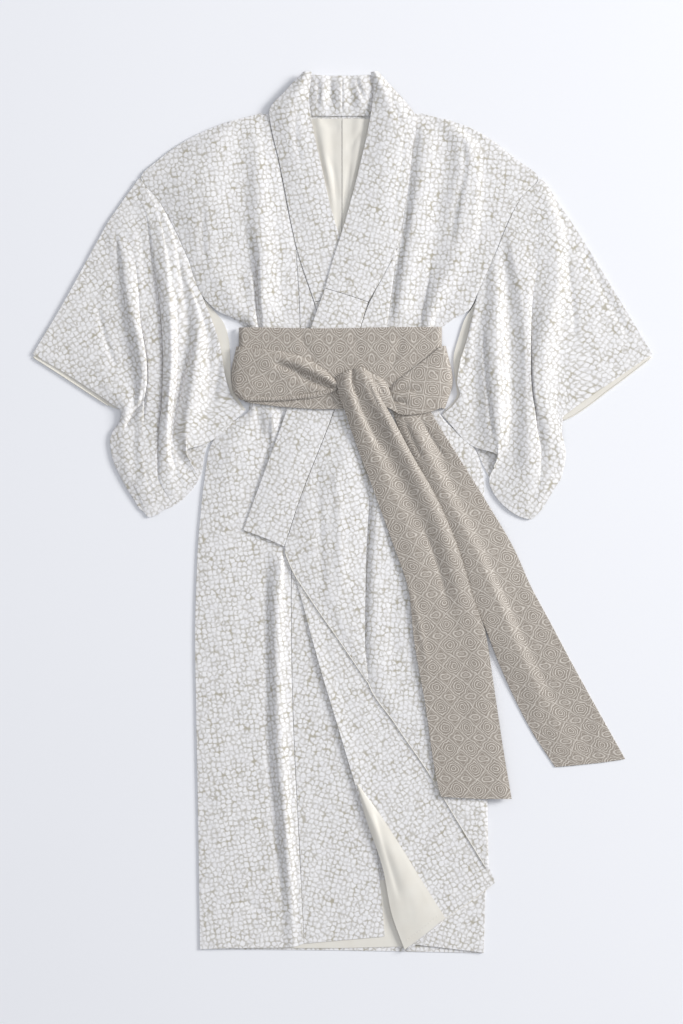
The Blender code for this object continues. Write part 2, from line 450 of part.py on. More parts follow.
def add_cloth(collection, name, cloth, rows, thick, inward=False):
    """One cloth wall: a sheet through the sections, made thick away from the surface it lies on."""
    count, across = rows.shape[:2]
    index = np.arange(count * across).reshape(count, across)
    corners = [index[1:, :-1], index[1:, 1:], index[:-1, 1:], index[:-1, :-1]]
    if inward:
        corners.reverse()
    faces = np.stack(corners, -1).reshape(-1, 4)
    mesh = bpy.data.meshes.new(name)
    mesh.from_pydata((rows.reshape(-1, 3) * MM).tolist(), [], faces.tolist())
    mesh.materials.append(material_of(f"{cloth}_{name}"))
    piece = bpy.data.objects.new(name, mesh)
    collection.objects.link(piece)
    wall = piece.modifiers.new("Cloth", "SOLIDIFY")
    wall.thickness = thick * MM
    wall.offset = -1.0 if inward else 1.0
    return piece


def body_panel(collection, name, cloth, lines, thick, steps=2):
    rows = sections_across(read_at_rows(lines, BODY_ROWS), steps)
    rows[:, :, 2] += lift_at(rows[:, :, 1])
    return add_cloth(collection, name, cloth, rows, thick)


def loose_panel(collection, name, cloth, lines, thick, count, steps=2, lifted=False):
    rows = sections_across(read_by_length(lines, count), steps)
    if lifted:
        rows[:, :, 2] += lift_at(rows[:, :, 1])
    return add_cloth(collection, name, cloth, rows, thick)


def build_back(collection):
    gap = SEAM_GAP / 2
    side = moved(SIDE_RIGHT, 1.0, 0.0)
    centre = moved(CENTRE_BACK, -gap, 0.0)
    body_panel(collection, "back_right", "print", (side, centre), CLOTH_THICK)
    side = moved(SIDE_LEFT, -1.0, 0.0)
    centre = moved(CENTRE_BACK, gap, 0.0)
    body_panel(collection, "back_left", "print", (centre, side), CLOTH_THICK)
    loose_panel(collection, "lining_back_right", "lining", BACK_LINING_RIGHT, LINING_THICK, 8, 1)
    loose_panel(collection, "lining_back_left", "lining", BACK_LINING_LEFT, LINING_THICK, 8, 1)
    loose_panel(collection, "lining_hem", "lining", LINING_HEM, LINING_THICK, 3, 1)


def build_fronts(collection):
    kensaki = OVERLAP_SEAM_RIGHT[0][1]
    overlap_seam = drawn(OVERLAP_SEAM_RIGHT)
    right_edge = above(drawn(COLLAR_SEAM_RIGHT), kensaki) + overlap_seam[1:]
    lines = (
        moved(with_heights(SIDE_RIGHT, SIDE_RIGHT_Z), SEAM_GAP),
        *FRONT_RIGHT_FOLDS,
        moved(with_heights(right_edge, RIGHT_EDGE_Z), -SEAM_GAP),
    )
    body_panel(collection, "front_right", "print", lines, CLOTH_THICK)
    front_edge = drawn(COLLAR_SEAM_RIGHT + FRONT_EDGE_RIGHT)
    lines = (
        moved(below(overlap_seam, OVERLAP_TOP), 0.0, BODY_Z),
        moved(below(front_edge, OVERLAP_TOP), -SEAM_GAP, BODY_Z),
    )
    body_panel(collection, "overlap_right", "print", lines, CLOTH_THICK)

    kensaki = OVERLAP_SEAM_LEFT[0][1]
    overlap_seam = drawn(OVERLAP_SEAM_LEFT)
    collar_seam = drawn(COLLAR_SEAM_LEFT)
    pleat_edge = drawn(PLEAT_EDGE)
    left_edge = above(collar_seam, kensaki) + overlap_seam[1:] + below(pleat_edge, overlap_seam[-1][1])[1:]
    lines = (
        moved(with_heights(left_edge, LEFT_EDGE_Z), SEAM_GAP),
        *FRONT_LEFT_FOLDS,
        with_heights(above(SIDE_LEFT, PLEAT_EDGE[-1][1]), SIDE_LEFT_Z),
    )
    body_panel(collection, "front_left", "print", lines, CLOTH_THICK)
    collar_side = below(collar_seam, OVERLAP_TOP) + above(pleat_edge, overlap_seam[-1][1])[1:]
    lines = (
        moved(with_heights(collar_side, COLLAR_SIDE_Z), SEAM_GAP),
        *OVERLAP_LEFT_FOLDS,
        moved(with_heights(below(overlap_seam, OVERLAP_TOP), LEFT_EDGE_Z), -SEAM_GAP / 2),
    )
    body_panel(collection, "overlap_left", "print", lines, CLOTH_THICK)
    loose_panel(collection, "overlap_left_lower", "print", STRIP, CLOTH_THICK, 14)
    loose_panel(collection, "overlap_left_facing", "lining", LINING_FLAP, LINING_THICK, 7)
    loose_panel(collection, "front_left_hem", "print", SIDE_HEM_LEFT, CLOTH_THICK, 3)


def build_collar(collection):
    loose_panel(collection, "collar_cover_right", "print", COLLAR_COVER_RIGHT, COLLAR_THICK, 20)
    loose_panel(collection, "collar_cover_left", "print", COLLAR_COVER_LEFT, COLLAR_THICK, 20)
    loose_panel(collection, "collar_right", "print", COLLAR_RIGHT, COLLAR_THICK, 3, 1)
    loose_panel(collection, "collar_left", "print", COLLAR_LEFT, COLLAR_THICK, 14)
    rows = sections_across(read_by_length(COLLAR_BACK, 11, axes=3), 2)
    add_cloth(collection, "collar_cover_back", "print", rows, COLLAR_THICK, inward=True)


def build_sleeves(collection):
    for side, front, back in (
        ("right", SLEEVE_FRONT_RIGHT, SLEEVE_BACK_RIGHT),
        ("left", SLEEVE_FRONT_LEFT, SLEEVE_BACK_LEFT),
    ):
        loose_panel(collection, f"sleeve_front_{side}", "print", front, CLOTH_THICK, 20)
        flat = tuple(moved(line, 0.0, 0.0) for line in back)
        loose_panel(collection, f"sleeve_back_{side}", "print", flat, CLOTH_THICK, 12, 1)
        raised = tuple(moved(line, 0.0, CLOTH_THICK + 0.3) for line in back)
        loose_panel(collection, f"sleeve_lining_{side}", "lining", raised, LINING_THICK, 12, 1)


def build_sash(collection):
    loose_panel(collection, "sash_back", "sash", SASH_BACK, SASH_THICK, 2, 1)
    loose_panel(collection, "sash_band", "sash", SASH_BAND, SASH_THICK, 4, 1)
    loose_panel(collection, "sash_wrap", "sash", SASH_WRAP, SASH_THICK, 8)
    loose_panel(collection, "sash_loop", "sash", SASH_LOOP, SASH_THICK, 6)
    loose_panel(collection, "sash_knot", "sash", SASH_KNOT, SASH_THICK, 7)
    loose_panel(collection, "sash_tail_upper", "sash", TAIL_UPPER, SASH_THICK, 18)
    loose_panel(collection, "sash_tail_lower", "sash", TAIL_LOWER, SASH_THICK, 18)


def main():
    for leftover in list(bpy.data.objects):
        bpy.data.objects.remove(leftover, do_unlink=True)
    collection = bpy.data.collections.new("Kimono robe")
    bpy.context.scene.collection.children.link(collection)
    build_back(collection)
    build_fronts(collection)
    build_collar(collection)
    build_sleeves(collection)
    build_sash(collection)


main()
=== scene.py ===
"""Kimono robe laid flat on its back with its sash tied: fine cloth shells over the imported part's solids.

Tables hold millimetres: x to the right and y up the robe as it lies, z up from the surface to the cloth's
underside. Right and left in the names are the wearer's, so the right side is at minus x.
"""

import math

import bpy
import numpy as np
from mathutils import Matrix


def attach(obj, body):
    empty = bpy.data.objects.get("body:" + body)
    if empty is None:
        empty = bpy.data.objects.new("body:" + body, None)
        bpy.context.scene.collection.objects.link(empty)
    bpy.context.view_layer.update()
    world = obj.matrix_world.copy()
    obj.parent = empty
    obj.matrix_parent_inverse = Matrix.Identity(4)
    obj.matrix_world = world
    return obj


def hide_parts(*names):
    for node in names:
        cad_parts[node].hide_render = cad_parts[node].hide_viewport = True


bl_info = {
    "name": "Kimono Robe Laid Flat",
    "version": (1, 0, 0),
    "blender": (4, 5, 0),
    "location": "View3D > Sidebar > Robe",
    "description": "Builds the cloth, sash and sewing of a kimono robe on its packed frame",
    "category": "Add Mesh",
}

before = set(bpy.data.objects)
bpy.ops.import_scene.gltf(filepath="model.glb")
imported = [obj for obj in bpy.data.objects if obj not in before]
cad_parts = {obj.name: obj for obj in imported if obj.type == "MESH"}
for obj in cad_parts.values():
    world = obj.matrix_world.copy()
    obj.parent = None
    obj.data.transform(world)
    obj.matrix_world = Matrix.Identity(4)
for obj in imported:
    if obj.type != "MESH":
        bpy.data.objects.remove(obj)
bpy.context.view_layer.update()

MM = 0.001
SEAM_GAP = 0.4  # between the edges of two pieces sewn together
BACK_INSET = 1.0  # how far the back stops short of the fronts' side edges
SASH_LIFT = 2.2  # how far the body's layers rise over the sash behind the waist
BODY_Z = 2.6  # height of the right overlap panel, on the back
OVERLAP_TOP = 460  # where both overlap panels start, up the robe
LINING_CLEAR = 0.3  # between a sleeve's back and its lining
CUFF_POINTS = 4  # how many points of a sleeve's outer edge belong to the cuff
NEAR = 2  # points closer than this to the end of an edge are left out

# Widths between the points of the fine grids, along the cloth and across it.
GRID_ALONG = 6.0
GRID_ACROSS = 2.8
# Points read along an armhole seam, a crease, and an edge that is piped or folded.
SEAM_POINTS = 200
CREASE_POINTS = 24
EDGE_POINTS = 40

SLIT_SIDES = (-3, 0, 2.6)  # where a slit's left rim, bottom and right rim lie beside its path
SLIT_ENDS = 0.3  # share of that at its two ends
SEAM_EASE = 7  # rows over which a sleeve eases from the armhole seam to its own fold lines
CREASE_FADE = 0.22  # share of a crease over which it fades at each end
RIPPLE_LENGTHS = (95, 61, 43, 31, 24)  # from one ripple to the next
RIPPLE_REACH = 12  # from a seam to where the ripples are full
PRINT_SHIFT = (137.0, 71.0)  # how far the print moves on from piece to piece, so that no two are alike
WARP = 5.0  # a pattern's warp, for a noise that stays within 0.4 of its middle
RINGS_APART = 3.9  # between two rings of the jacquard, coarser than the real 3.2, so that they show
EDGE_ROUND = 0.35  # share of the cloth's thickness that is rounded at its turned edge
EDGE_ANGLE = 60  # degrees over which an edge is rounded

# Rolled and piped edges: width, height, and how far their middle lies off the cloth's edge: x, y, z.
# The pleat's rim is cream: a painted highlight along the pleat's lit edge.
PLEAT_HIGHLIGHT_RIM = (1.9, 1.3, (-0.7, -0.5, 0.8))
STRIP_PIPING = (1.8, 1.4, (0, 0, 0.7))
FACING_PIPING = (5.0, 1.8, (1.0, -1.8, 0.3))
CUFF_PIPING = (2.2, 1.8, (0, 0, 1.4))
WRAP_EDGE = (7.5, 4.0, (0, 0, 0))
TUBE_END = 0.35  # share of a tube's width at its very end

# Hand stitches, where they run as shares of a piece's length and width, and the rings of points round each
# stitch: share of its length, share of its radius, height.
STITCH_APART = 6.0
STITCH_LENGTH = 3.4
STITCH_RADIUS = 0.42
STITCH_SIDES = 6
FACING_SEWN = 0.955  # how far down the turned-back lining its hem is sewn
COLLAR_SEWN = (0.9, 0.2, 0.62)  # share of the collar's width, and of its length at the start and the end
STITCH_RINGS = ((0.0, 0.35, -0.15), (0.2, 1.0, 0.15), (0.8, 1.0, 0.15), (1.0, 0.35, -0.15))

# The stage, in metres: the surface, the camera, how much of its length it sees, and the light all round.
FLOOR_SIDE = 12.0
FLOOR_DROP = 0.0003
CAMERA_HEIGHT = 4.0
CAMERA_PLACE = (-0.00175, 0.00175)
VIEW_HEIGHT = 1.792
AROUND_COLOUR = (0.93, 0.95, 1.0, 1.0)
AROUND_STRENGTH = 0.45

# Soft boxes: name, place in metres, side in metres, power in watts, colour.
LIGHTS = (
    ("window", (7.4, 2.8, 3.7), 2.8, 755.0, (1.0, 0.99, 0.97)),
    ("sky", (0.0, 0.6, 4.2), 3.6, 36.0, (0.96, 0.98, 1.0)),
)

# Heights on the robe at which the seams shared by two panels get a point, so that both panels bend alike.
BODY_ROWS = (
    691, 677, 653, 618, 586, 550, 499, 446, 416, 387, 355, 326, 303, 247, 184, 163, 128, 102, 66, 23, -30,
    -60, -91, -147, -222, -292, -369, -450, -528, -618, -695,
)

# The body layers rise over the sash's run behind the waist: height on the robe, share of the full lift.
LIFT_ROWS = ((163, 0), (184, 1), (303, 1), (326, 0))

# Seams and edges shared by the pieces that meet there: x, y.
SIDE_RIGHT = (
    (-141, 698), (-174, 691), (-218, 677), (-270.5, 653), (-321, 618), (-352.5, 586), (-323, 549.5),
    (-270.5, 446), (-249.5, 387), (-221.5, 355), (-162, 325.5), (-167, 247), (-160, 184), (-168, 173),
    (-186, 163), (-205, 150), (-223, 132), (-234.5, 106), (-240.5, 66.5), (-246, 23), (-254.5, -86),
    (-258, -222), (-256.5, -327), (-253, -513), (-249.5, -763),
)
SIDE_LEFT = (
    (135.5, 698), (163.5, 691), (212.5, 677), (258, 653), (303.5, 618), (342, 586), (310.5, 549.5),
    (263.5, 446), (237, 387), (221.5, 355), (168, 325.5), (168, 247), (166, 184), (179, 161),
    (217.5, 128), (236.5, 101.5), (245.5, 66.5), (248, 23), (251, -222), (253, -502), (254, -619.5),
    (249.5, -686), (246, -769.9),
)
CENTRE_BACK = ((-1, 698), (-1, -152), (-1, -765))
COLLAR_SEAM_RIGHT = (
    (-128.5, 698), (-125, 672), (-111, 612.5), (-106, 583), (-81.5, 465.5), (-46.5, 357), (-36, 325.5),
    (-9.5, 247),
)
COLLAR_SEAM_LEFT = (
    (125, 698), (130.5, 686), (121.5, 630), (114.5, 567), (97, 469), (72.5, 416.5), (44.5, 362),
    (25.5, 303), (-15, 177), (-74.5, 23), (-90.5, -26), (-100.5, -59.5),
)
OVERLAP_SEAM_RIGHT = (
    (-81.5, 465.5), (-74.5, 324), (-79.5, 180), (-88.5, -82), (-90, -147), (-88.5, -292), (-83, -439),
    (-74.5, -605.5), (-67.5, -752.5),
)
FRONT_EDGE_RIGHT = ((4.5, 184), (16.5, 23), (34, -327), (65.5, -642), (74.5, -740))
OVERLAP_SEAM_LEFT = (
    (97, 469), (78, 325.5), (58.5, 177), (48, 38.5), (41, -105), (39.5, -229), (44.5, -290.5),
)
PLEAT_EDGE = (
    (-100.5, -59.5), (-85, -107), (-55, -150.5), (-11.5, -213.5), (34, -280), (83, -355), (132, -422),
    (169, -486.5), (209, -549.5), (246, -609), (251, -619.5),
)

# Fold lines of the fronts between their two edges, from left to right, each from top to bottom: x, y, z.
FRONT_RIGHT_FOLDS = (
    ((-197, 684, 4), (-221.5, 635, 11), (-237, 548, 12), (-239, 478, 9), (-228.5, 439, 8),
     (-200.5, 387, 9), (-179.5, 355, 8), (-156.5, 325.5, 4), (-158.5, 247, 3), (-155, 184, 4),
     (-162, 163, 5), (-186.5, 128, 6), (-197, 23, 4), (-200.5, -327, 3), (-200.5, -761, 2.6)),
    ((-172.5, 691, 3), (-177.5, 677, 5), (-172, 600, 7), (-174, 513, 7), (-162, 446, 4.6),
     (-149.5, 373, 2.8), (-146, 325.5, 2.6), (-148, 177, 2.6), (-141, 128, 2.8), (-134, 58, 2.6),
     (-137.5, -59.5, 2.6), (-134, -194, 2.8), (-130.5, -402.5, 2.8), (-114.5, -549.5, 2.8),
     (-107.5, -686, 2.6), (-104, -759.5, 2.6)),
    ((-151.5, 695, 3), (-153, 677, 5), (-148, 600, 10), (-146, 513, 12), (-142.5, 446, 13),
     (-141, 373, 13), (-137.5, 325.5, 6), (-134, 247, 2.6), (-127, 184, 6), (-125, 156, 9),
     (-123.5, 128, 5), (-121.5, 105, 2.8), (-118, 23, 2.6), (-108, -59.5, 3.2), (-108.5, -91, 8.5),
     (-113, -152, 10), (-111, -327, 10), (-100.5, -513, 10), (-90, -677, 7), (-86.5, -758, 4)),
    ((-135.5, 696.5, 3), (-137.5, 677, 4), (-125, 583, 6), (-109.5, 446, 5), (-102.5, 325.5, 3.4),
     (-104, 247, 2.6), (-102.5, 177, 2.8), (-100.5, 101.5, 2.8), (-101.5, -59.5, 2.6), (-101, -91, 2.6),
     (-100, -147, 4), (-97, -327, 5), (-88.5, -513, 4.5), (-78, -677, 3.4), (-76, -756, 2.8)),
)
FRONT_LEFT_FOLDS = (
    ((142.5, 695, 3.4), (142.5, 635, 9), (130.5, 548, 10), (114.5, 446, 10), (100.5, 355, 9),
     (95.5, 325.5, 5), (88.5, 247, 4.2), (79.5, 177, 5), (69, 101.5, 8), (64, 23, 9), (57, -105, 9.5),
     (57, -222, 9), (64, -292, 8), (99, -359, 6.4), (148, -423.5, 6.4), (183, -486.5, 6.4),
     (219.5, -549.5, 6.4), (247.5, -609, 6.4), (251.5, -619.5, 6.4)),
    ((160, 691, 3), (177.5, 635, 5), (170.5, 548, 4.5), (156.5, 446, 4), (141, 387, 3.2), (127, 325.5, 3),
     (118, 247, 3), (109.5, 177, 4), (107.5, 101.5, 6), (100.5, 23, 6.4), (92, -152, 6.4),
     (97, -292, 6.4), (127, -369, 6.4), (165.5, -432, 6.4), (197, -493.5, 6.4), (226.5, -553, 6.4),
     (249.5, -609, 6.4), (252, -619.5, 6.4)),
    ((181, 688, 3.4), (218, 635, 11), (212.5, 548, 11), (198.5, 446, 9), (167, 387, 10),
     (149.5, 325.5, 7), (142.5, 247, 3), (139, 177, 4), (160, 101.5, 5), (163.5, 23, 6),
     (163.5, -152, 6.4), (170.5, -292, 6.4), (184.5, -369, 6.4), (205.5, -450, 6.4), (225, -513, 6.4),
     (240.5, -565, 6.4), (250.5, -609, 6.4), (252.5, -619.5, 6.4)),
    ((197, 682.5, 3.4), (247.5, 635, 5), (251, 548, 6), (230, 446, 5), (198.5, 387, 5), (160, 325.5, 3.4),
     (158.5, 247, 3), (153, 177, 3), (198.5, 101.5, 4), (216, 23, 5), (219.5, -152, 6), (223, -327, 6),
     (230, -450, 6.4), (240.5, -513, 6.4), (248.5, -565, 6.4), (251.5, -609, 6.4), (253, -619.5, 6.4)),
)

# Heights of the cloth along the edges: y, z.
SIDE_RIGHT_Z = (
    (698, 4.4), (677, 2.6), (586, 3), (446, 3.4), (387, 4), (355, 4.4), (325.5, 2.6), (247, 2.2),
    (128, 1.8), (-763, 1.4),
)
RIGHT_EDGE_Z = ((698, 5.5), (672, 4.4), (612.5, 3.6), (465.5, 2.6), (-752.5, 2.6))
LEFT_EDGE_Z = (
    (698, 5.5), (672, 4.4), (612.5, 4), (469, 4.4), (325.5, 4.4), (247, 4.6), (177, 5), (38.5, 4.6),
    (-105, 5), (-229, 6.4), (-619.5, 6.4),
)
COLLAR_SIDE_Z = ((469, 5.8), (303, 6), (177, 6.2), (23, 6.6), (-60, 6.4), (-291, 6.4))
SIDE_LEFT_Z = (
    (691, 3.2), (586, 3.6), (549.5, 6), (499, 9), (446, 6), (387, 4), (325.5, 2.8), (23, 2.8), (-450, 3),
    (-565, 6), (-618, 6.4),
)

# Fold lines of the overlaps, linings, collar, sleeves and sash, from left to right: x, y, z. The sleeves'
# backs lie flat and have no z.
OVERLAP_LEFT_FOLDS = (
    ((93.9, 460, 5), (87, 439, 5.6), (66.5, 387, 5.6), (44.5, 325.5, 6), (18.5, 247, 6), (-1, 177, 6.2),
     (-43, 75, 7), (-69, -12, 8), (-69, -107, 6.6), (-36, -163, 6.4), (-1, -217, 6.4), (37, -280, 6.4),
     (41.5, -290.5, 6.4)),
    ((94.8, 460, 4.8), (90.5, 439, 5), (76, 387, 5), (62, 325.5, 5), (41, 247, 5.4), (25.5, 177, 5.6),
     (2.5, 75, 9.5), (-11.5, -12, 10), (-18.5, -105, 9), (-8, -173, 7.5), (16.5, -229, 7),
     (38.5, -280, 6.4), (43, -290.5, 6.4)),
)
STRIP = (
    ((-99, -66.5, 4.4), (-78, -128, 4.6), (-55, -213.5, 6.5), (-39.5, -269.5, 8), (-11.5, -362, 8),
     (9.5, -432, 8), (39.5, -532, 7), (73, -623, 5.6), (89, -696.5, 4.8), (113, -764, 4.2)),
    ((-93.5, -70, 4.4), (-64, -138, 4.6), (-30.5, -222, 5), (16.5, -362, 5), (76, -502, 5),
     (118, -623, 4.8), (156.5, -724.5, 4.4)),
    ((-86.5, -75, 4.4), (-43, -145, 4.4), (13, -240, 4.4), (74.5, -362, 4.4), (149.5, -502, 4.4),
     (188, -607, 4.4), (216, -684, 4.4)),
    ((-79.5, -79, 4.4), (-22, -152, 4.4), (39.5, -240, 4.4), (100.5, -327, 4.4), (170.5, -441, 4.4),
     (230, -548, 4.4), (251, -607, 4.4), (267, -646, 4)),
)
LINING_FLAP = (
    ((25.5, -474, 9.6), (41, -532, 8.6), (71, -623, 8), (85, -696.5, 7.6), (108.5, -763, 6.4)),
    ((26, -474, 9.8), (55, -541, 12), (97, -623, 11), (125, -696.5, 9.6), (142.5, -737, 7.6)),
    ((27, -474, 9.8), (69, -532, 8.2), (109.5, -595, 7.6), (142.5, -649, 7.2), (179.5, -707, 7)),
)
SIDE_HEM_LEFT = (
    ((92, -668.5, 2.6), (106, -712, 2.6), (121.5, -754, 2.6)),
    ((153, -590, 2.6), (160, -677, 2.6), (181, -761, 2.6)),
    ((251, -528.5, 2.6), (250, -642, 2.6), (247, -769, 2.6)),
)
LINING_HEM = (
    ((-193.5, -642, 1.5), (-190, -761, 1.5)),
    ((-22, -642, 1.5), (-22, -761, 1.5)),
    ((76, -642, 1.5), (118, -758, 1.5)),
)
BACK_LINING_RIGHT = (
    ((-74.5, 689.5, 1.5), (-58.5, 618, 1.5), (-43, 541, 1.5), (-25.5, 450, 1.5)),
    ((-55, 689.5, 1.6), (-39.5, 618, 1.6), (-23.5, 541, 1.6), (-15, 450, 1.5)),
    ((-39.5, 689.5, 4), (-29, 618, 5), (-16.5, 541, 2.6), (-9.5, 450, 1.5)),
    ((-20, 689.5, 2), (-15, 618, 2.4), (-9.5, 541, 2), (-6, 450, 1.5)),
    ((-1.5, 689.5, 3), (-1.5, 618, 3.4), (-1.5, 541, 2.2), (-1.5, 450, 1.5)),
)
BACK_LINING_LEFT = (
    ((-0.5, 689.5, 3), (-0.5, 618, 3.4), (-0.5, 541, 2.2), (-0.5, 450, 1.5)),
    ((15, 689.5, 2), (13, 618, 2.2), (6, 541, 2), (2.5, 450, 1.5)),
    ((30.5, 689.5, 4), (23.5, 618, 3.6), (10.5, 541, 2), (8, 450, 1.5)),
    ((48, 689.5, 1.6), (32.5, 618, 1.6), (16.5, 541, 1.5), (13, 450, 1.5)),
    ((65.5, 689.5, 1.5), (50, 618, 1.5), (34, 541, 1.5), (16.5, 450, 1.5)),
)
COLLAR_COVER_RIGHT = (
    ((-68, 769, 8), (-99, 737, 9), (-128, 700, 7), (-124, 672, 5), (-110, 612.5, 4), (-104, 583, 3.6),
     (-80.5, 465.5, 2.8), (-49, 369, 2.8)),
    ((-63, 770, 12), (-79.5, 731.5, 14), (-92, 696.5, 12), (-86.5, 665, 9), (-72.5, 609, 7),
     (-60.5, 548, 5.6), (-43, 472.5, 3.2), (-15, 378, 2.8)),
    ((-54, 770, 10), (-58.5, 723, 10), (-55, 693, 8), (-39.5, 618, 6), (-22, 541, 4.4), (-4.5, 480.5, 3),
     (16.5, 425, 2.8), (26, 393, 2.8)),
)
COLLAR_COVER_LEFT = (
    ((50, 769, 10), (55, 745.5, 10), (49, 693, 9), (32.5, 616, 7), (16.5, 553, 6.2), (-4.5, 480.5, 5.8),
     (-16.5, 443, 5.6), (-30.5, 393, 5.6)),
    ((56, 770, 13), (74.5, 728, 15), (88.5, 693, 13), (76, 618, 10), (65.5, 548, 8), (48, 472.5, 7),
     (32.5, 434, 6.6), (8, 381.5, 6.4)),
    ((62, 769, 9), (93.5, 735, 9), (124.5, 699, 7), (130, 686, 6.4), (121.3, 630, 5), (114.3, 567, 4),
     (96.6, 469, 5), (72, 416.5, 5.8), (44.5, 369, 5.8)),
)
COLLAR_RIGHT = (
    ((-48.8, 368.3, 2.8), (-45.5, 357, 2.8), (-30, 311.5, 2.8)),
    ((-14.7, 377.2, 2.8), (8, 311.5, 2.8)),
    ((26, 392.3, 2.8), (44.5, 311.5, 2.8)),
)
COLLAR_LEFT = (
    ((-30.7, 392.2, 5.6), (-55, 324, 7.6), (-76, 254, 7.6), (-97, 182, 7.6), (-135.5, 75, 6.4),
     (-174, -30, 5)),
    ((7.5, 380.8, 6.4), (-11.5, 324, 8.2), (-30.5, 254, 8.2), (-51.5, 182, 8.2), (-102.5, 58, 8),
     (-135.5, -44, 6)),
    ((44.3, 368.3, 5.8), (24.5, 303, 7.6), (5, 240, 7.6), (-16, 177, 7.6), (-75.5, 23, 7), (-91.5, -26, 6.2),
     (-102, -58.5, 5.6)),
)
# The collar behind the neck is folded lengthwise: up the inside, over, and down to the surface.
COLLAR_BACK = (
    ((-58, 694, 2.5), (-62, 728, 5.5), (-58, 758, 8), (-58, 765.5, 7), (-58, 766, 3), (-58, 759.5, 0),
     (-58, 703.5, 0)),
    ((-50.5, 694, 4), (-51.5, 728, 8), (-49, 758, 10.5), (-49, 765.5, 9), (-49, 766, 3), (-49, 759.5, 0),
     (-50.5, 703.5, 0)),
    ((-36, 694, 4), (-36, 728, 11), (-34, 758, 12), (-34, 765, 9), (-34, 765, 3), (-34, 758, 0),
     (-36, 703.5, 0)),
    ((-22, 694, 4), (-22, 728, 7), (-20, 758, 9.5), (-20, 764, 8), (-20, 764.5, 3), (-20, 758, 0),
     (-22, 703.5, 0)),
    ((-2.5, 694, 4), (-2.5, 728, 10), (-2.5, 758, 11.5), (-2.5, 764, 9), (-2.5, 764.5, 3), (-2.5, 758, 0),
     (-2.5, 703.5, 0)),
    ((15, 694, 4), (15, 728, 7), (13, 758, 9.5), (13, 764, 8), (13, 764.5, 3), (13, 758, 0),
     (15, 703.5, 0)),
    ((30.5, 694, 4), (32.5, 728, 11), (30.5, 758, 12), (30.5, 765, 9), (30.5, 765, 3), (30.5, 758, 0),
     (30.5, 703.5, 0)),
    ((42.5, 694, 4), (48, 728, 8), (44.5, 758, 10.5), (44.5, 765.5, 9), (44.5, 766, 3), (44.5, 759.5, 0),
     (42.5, 703.5, 0)),
    ((52, 694, 2.5), (60, 728, 5.5), (55, 758, 8), (55, 765.5, 7), (55, 766, 3), (55, 759.5, 0),
     (52, 703.5, 0)),
)
SLEEVE_FRONT_RIGHT = (
    ((-541.5, 278, 2.5), (-491, 248.5, 3), (-442, 217, 4), (-408, 194, 5), (-385, 174.5, 6),
     (-390, 157, 5), (-402, 141, 4), (-406, 126, 3.4), (-403, 101, 3), (-386, 60, 2.6), (-354.5, 7, 1.8)),
    ((-491, 362, 2.5), (-449, 294, 4.4), (-410.5, 224, 7), (-377, 180, 9), (-382.5, 145, 7), (-379, 101.5, 7),
     (-349, 3.5, 2)),
    ((-426, 479.5, 2.5), (-403.5, 425, 3.4), (-391, 355, 3.4), (-374, 282, 4), (-361.5, 224, 6),
     (-364, 180, 6), (-365, 128, 6), (-361.5, 58, 6), (-338.5, -7, 2)),
    ((-407, 513, 2.5), (-384, 460, 8), (-371, 373, 12), (-355, 294, 15), (-348.5, 241.5, 15),
     (-353, 204, 11), (-354, 145, 8), (-347.5, 75, 8), (-323, -2, 2)),
    ((-379, 553, 2.6), (-354.5, 495, 4.6), (-344, 425, 4.6), (-335, 338, 7), (-329, 268, 9),
     (-329, 180, 9), (-335, 119, 8), (-331.5, 58, 6), (-307, 9, 2)),
    ((-354, 585, 3), (-327, 527, 6.5), (-310.5, 443, 12), (-302, 355, 16), (-300, 268, 17),
     (-303, 198, 17), (-307, 128, 14), (-303.5, 66.5, 8), (-288, 23, 2)),
    ((-303, 509.5, 3.6), (-288, 457, 5), (-277.5, 390, 4), (-270.5, 320, 4), (-281, 233, 4),
     (-291.5, 163, 4), (-291.5, 119, 4), (-274, 79, 3), (-253, 61, 2)),
    ((-271, 446, 3.6), (-266, 399, 5.5), (-250, 338, 10), (-254.5, 276.5, 15), (-261.5, 215, 16),
     (-270.5, 163, 15), (-274, 107, 9)),
    ((-260.5, 415, 3.6), (-252, 367.5, 5), (-234, 303, 5), (-230, 233, 5), (-233.5, 180, 5),
     (-235.5, 122.5, 3.4)),
    ((-249.5, 386, 4), (-231, 344, 5.4), (-213.5, 290.5, 7), (-205, 240, 7), (-196, 210, 6),
     (-171.5, 177.5, 3.4)),
)
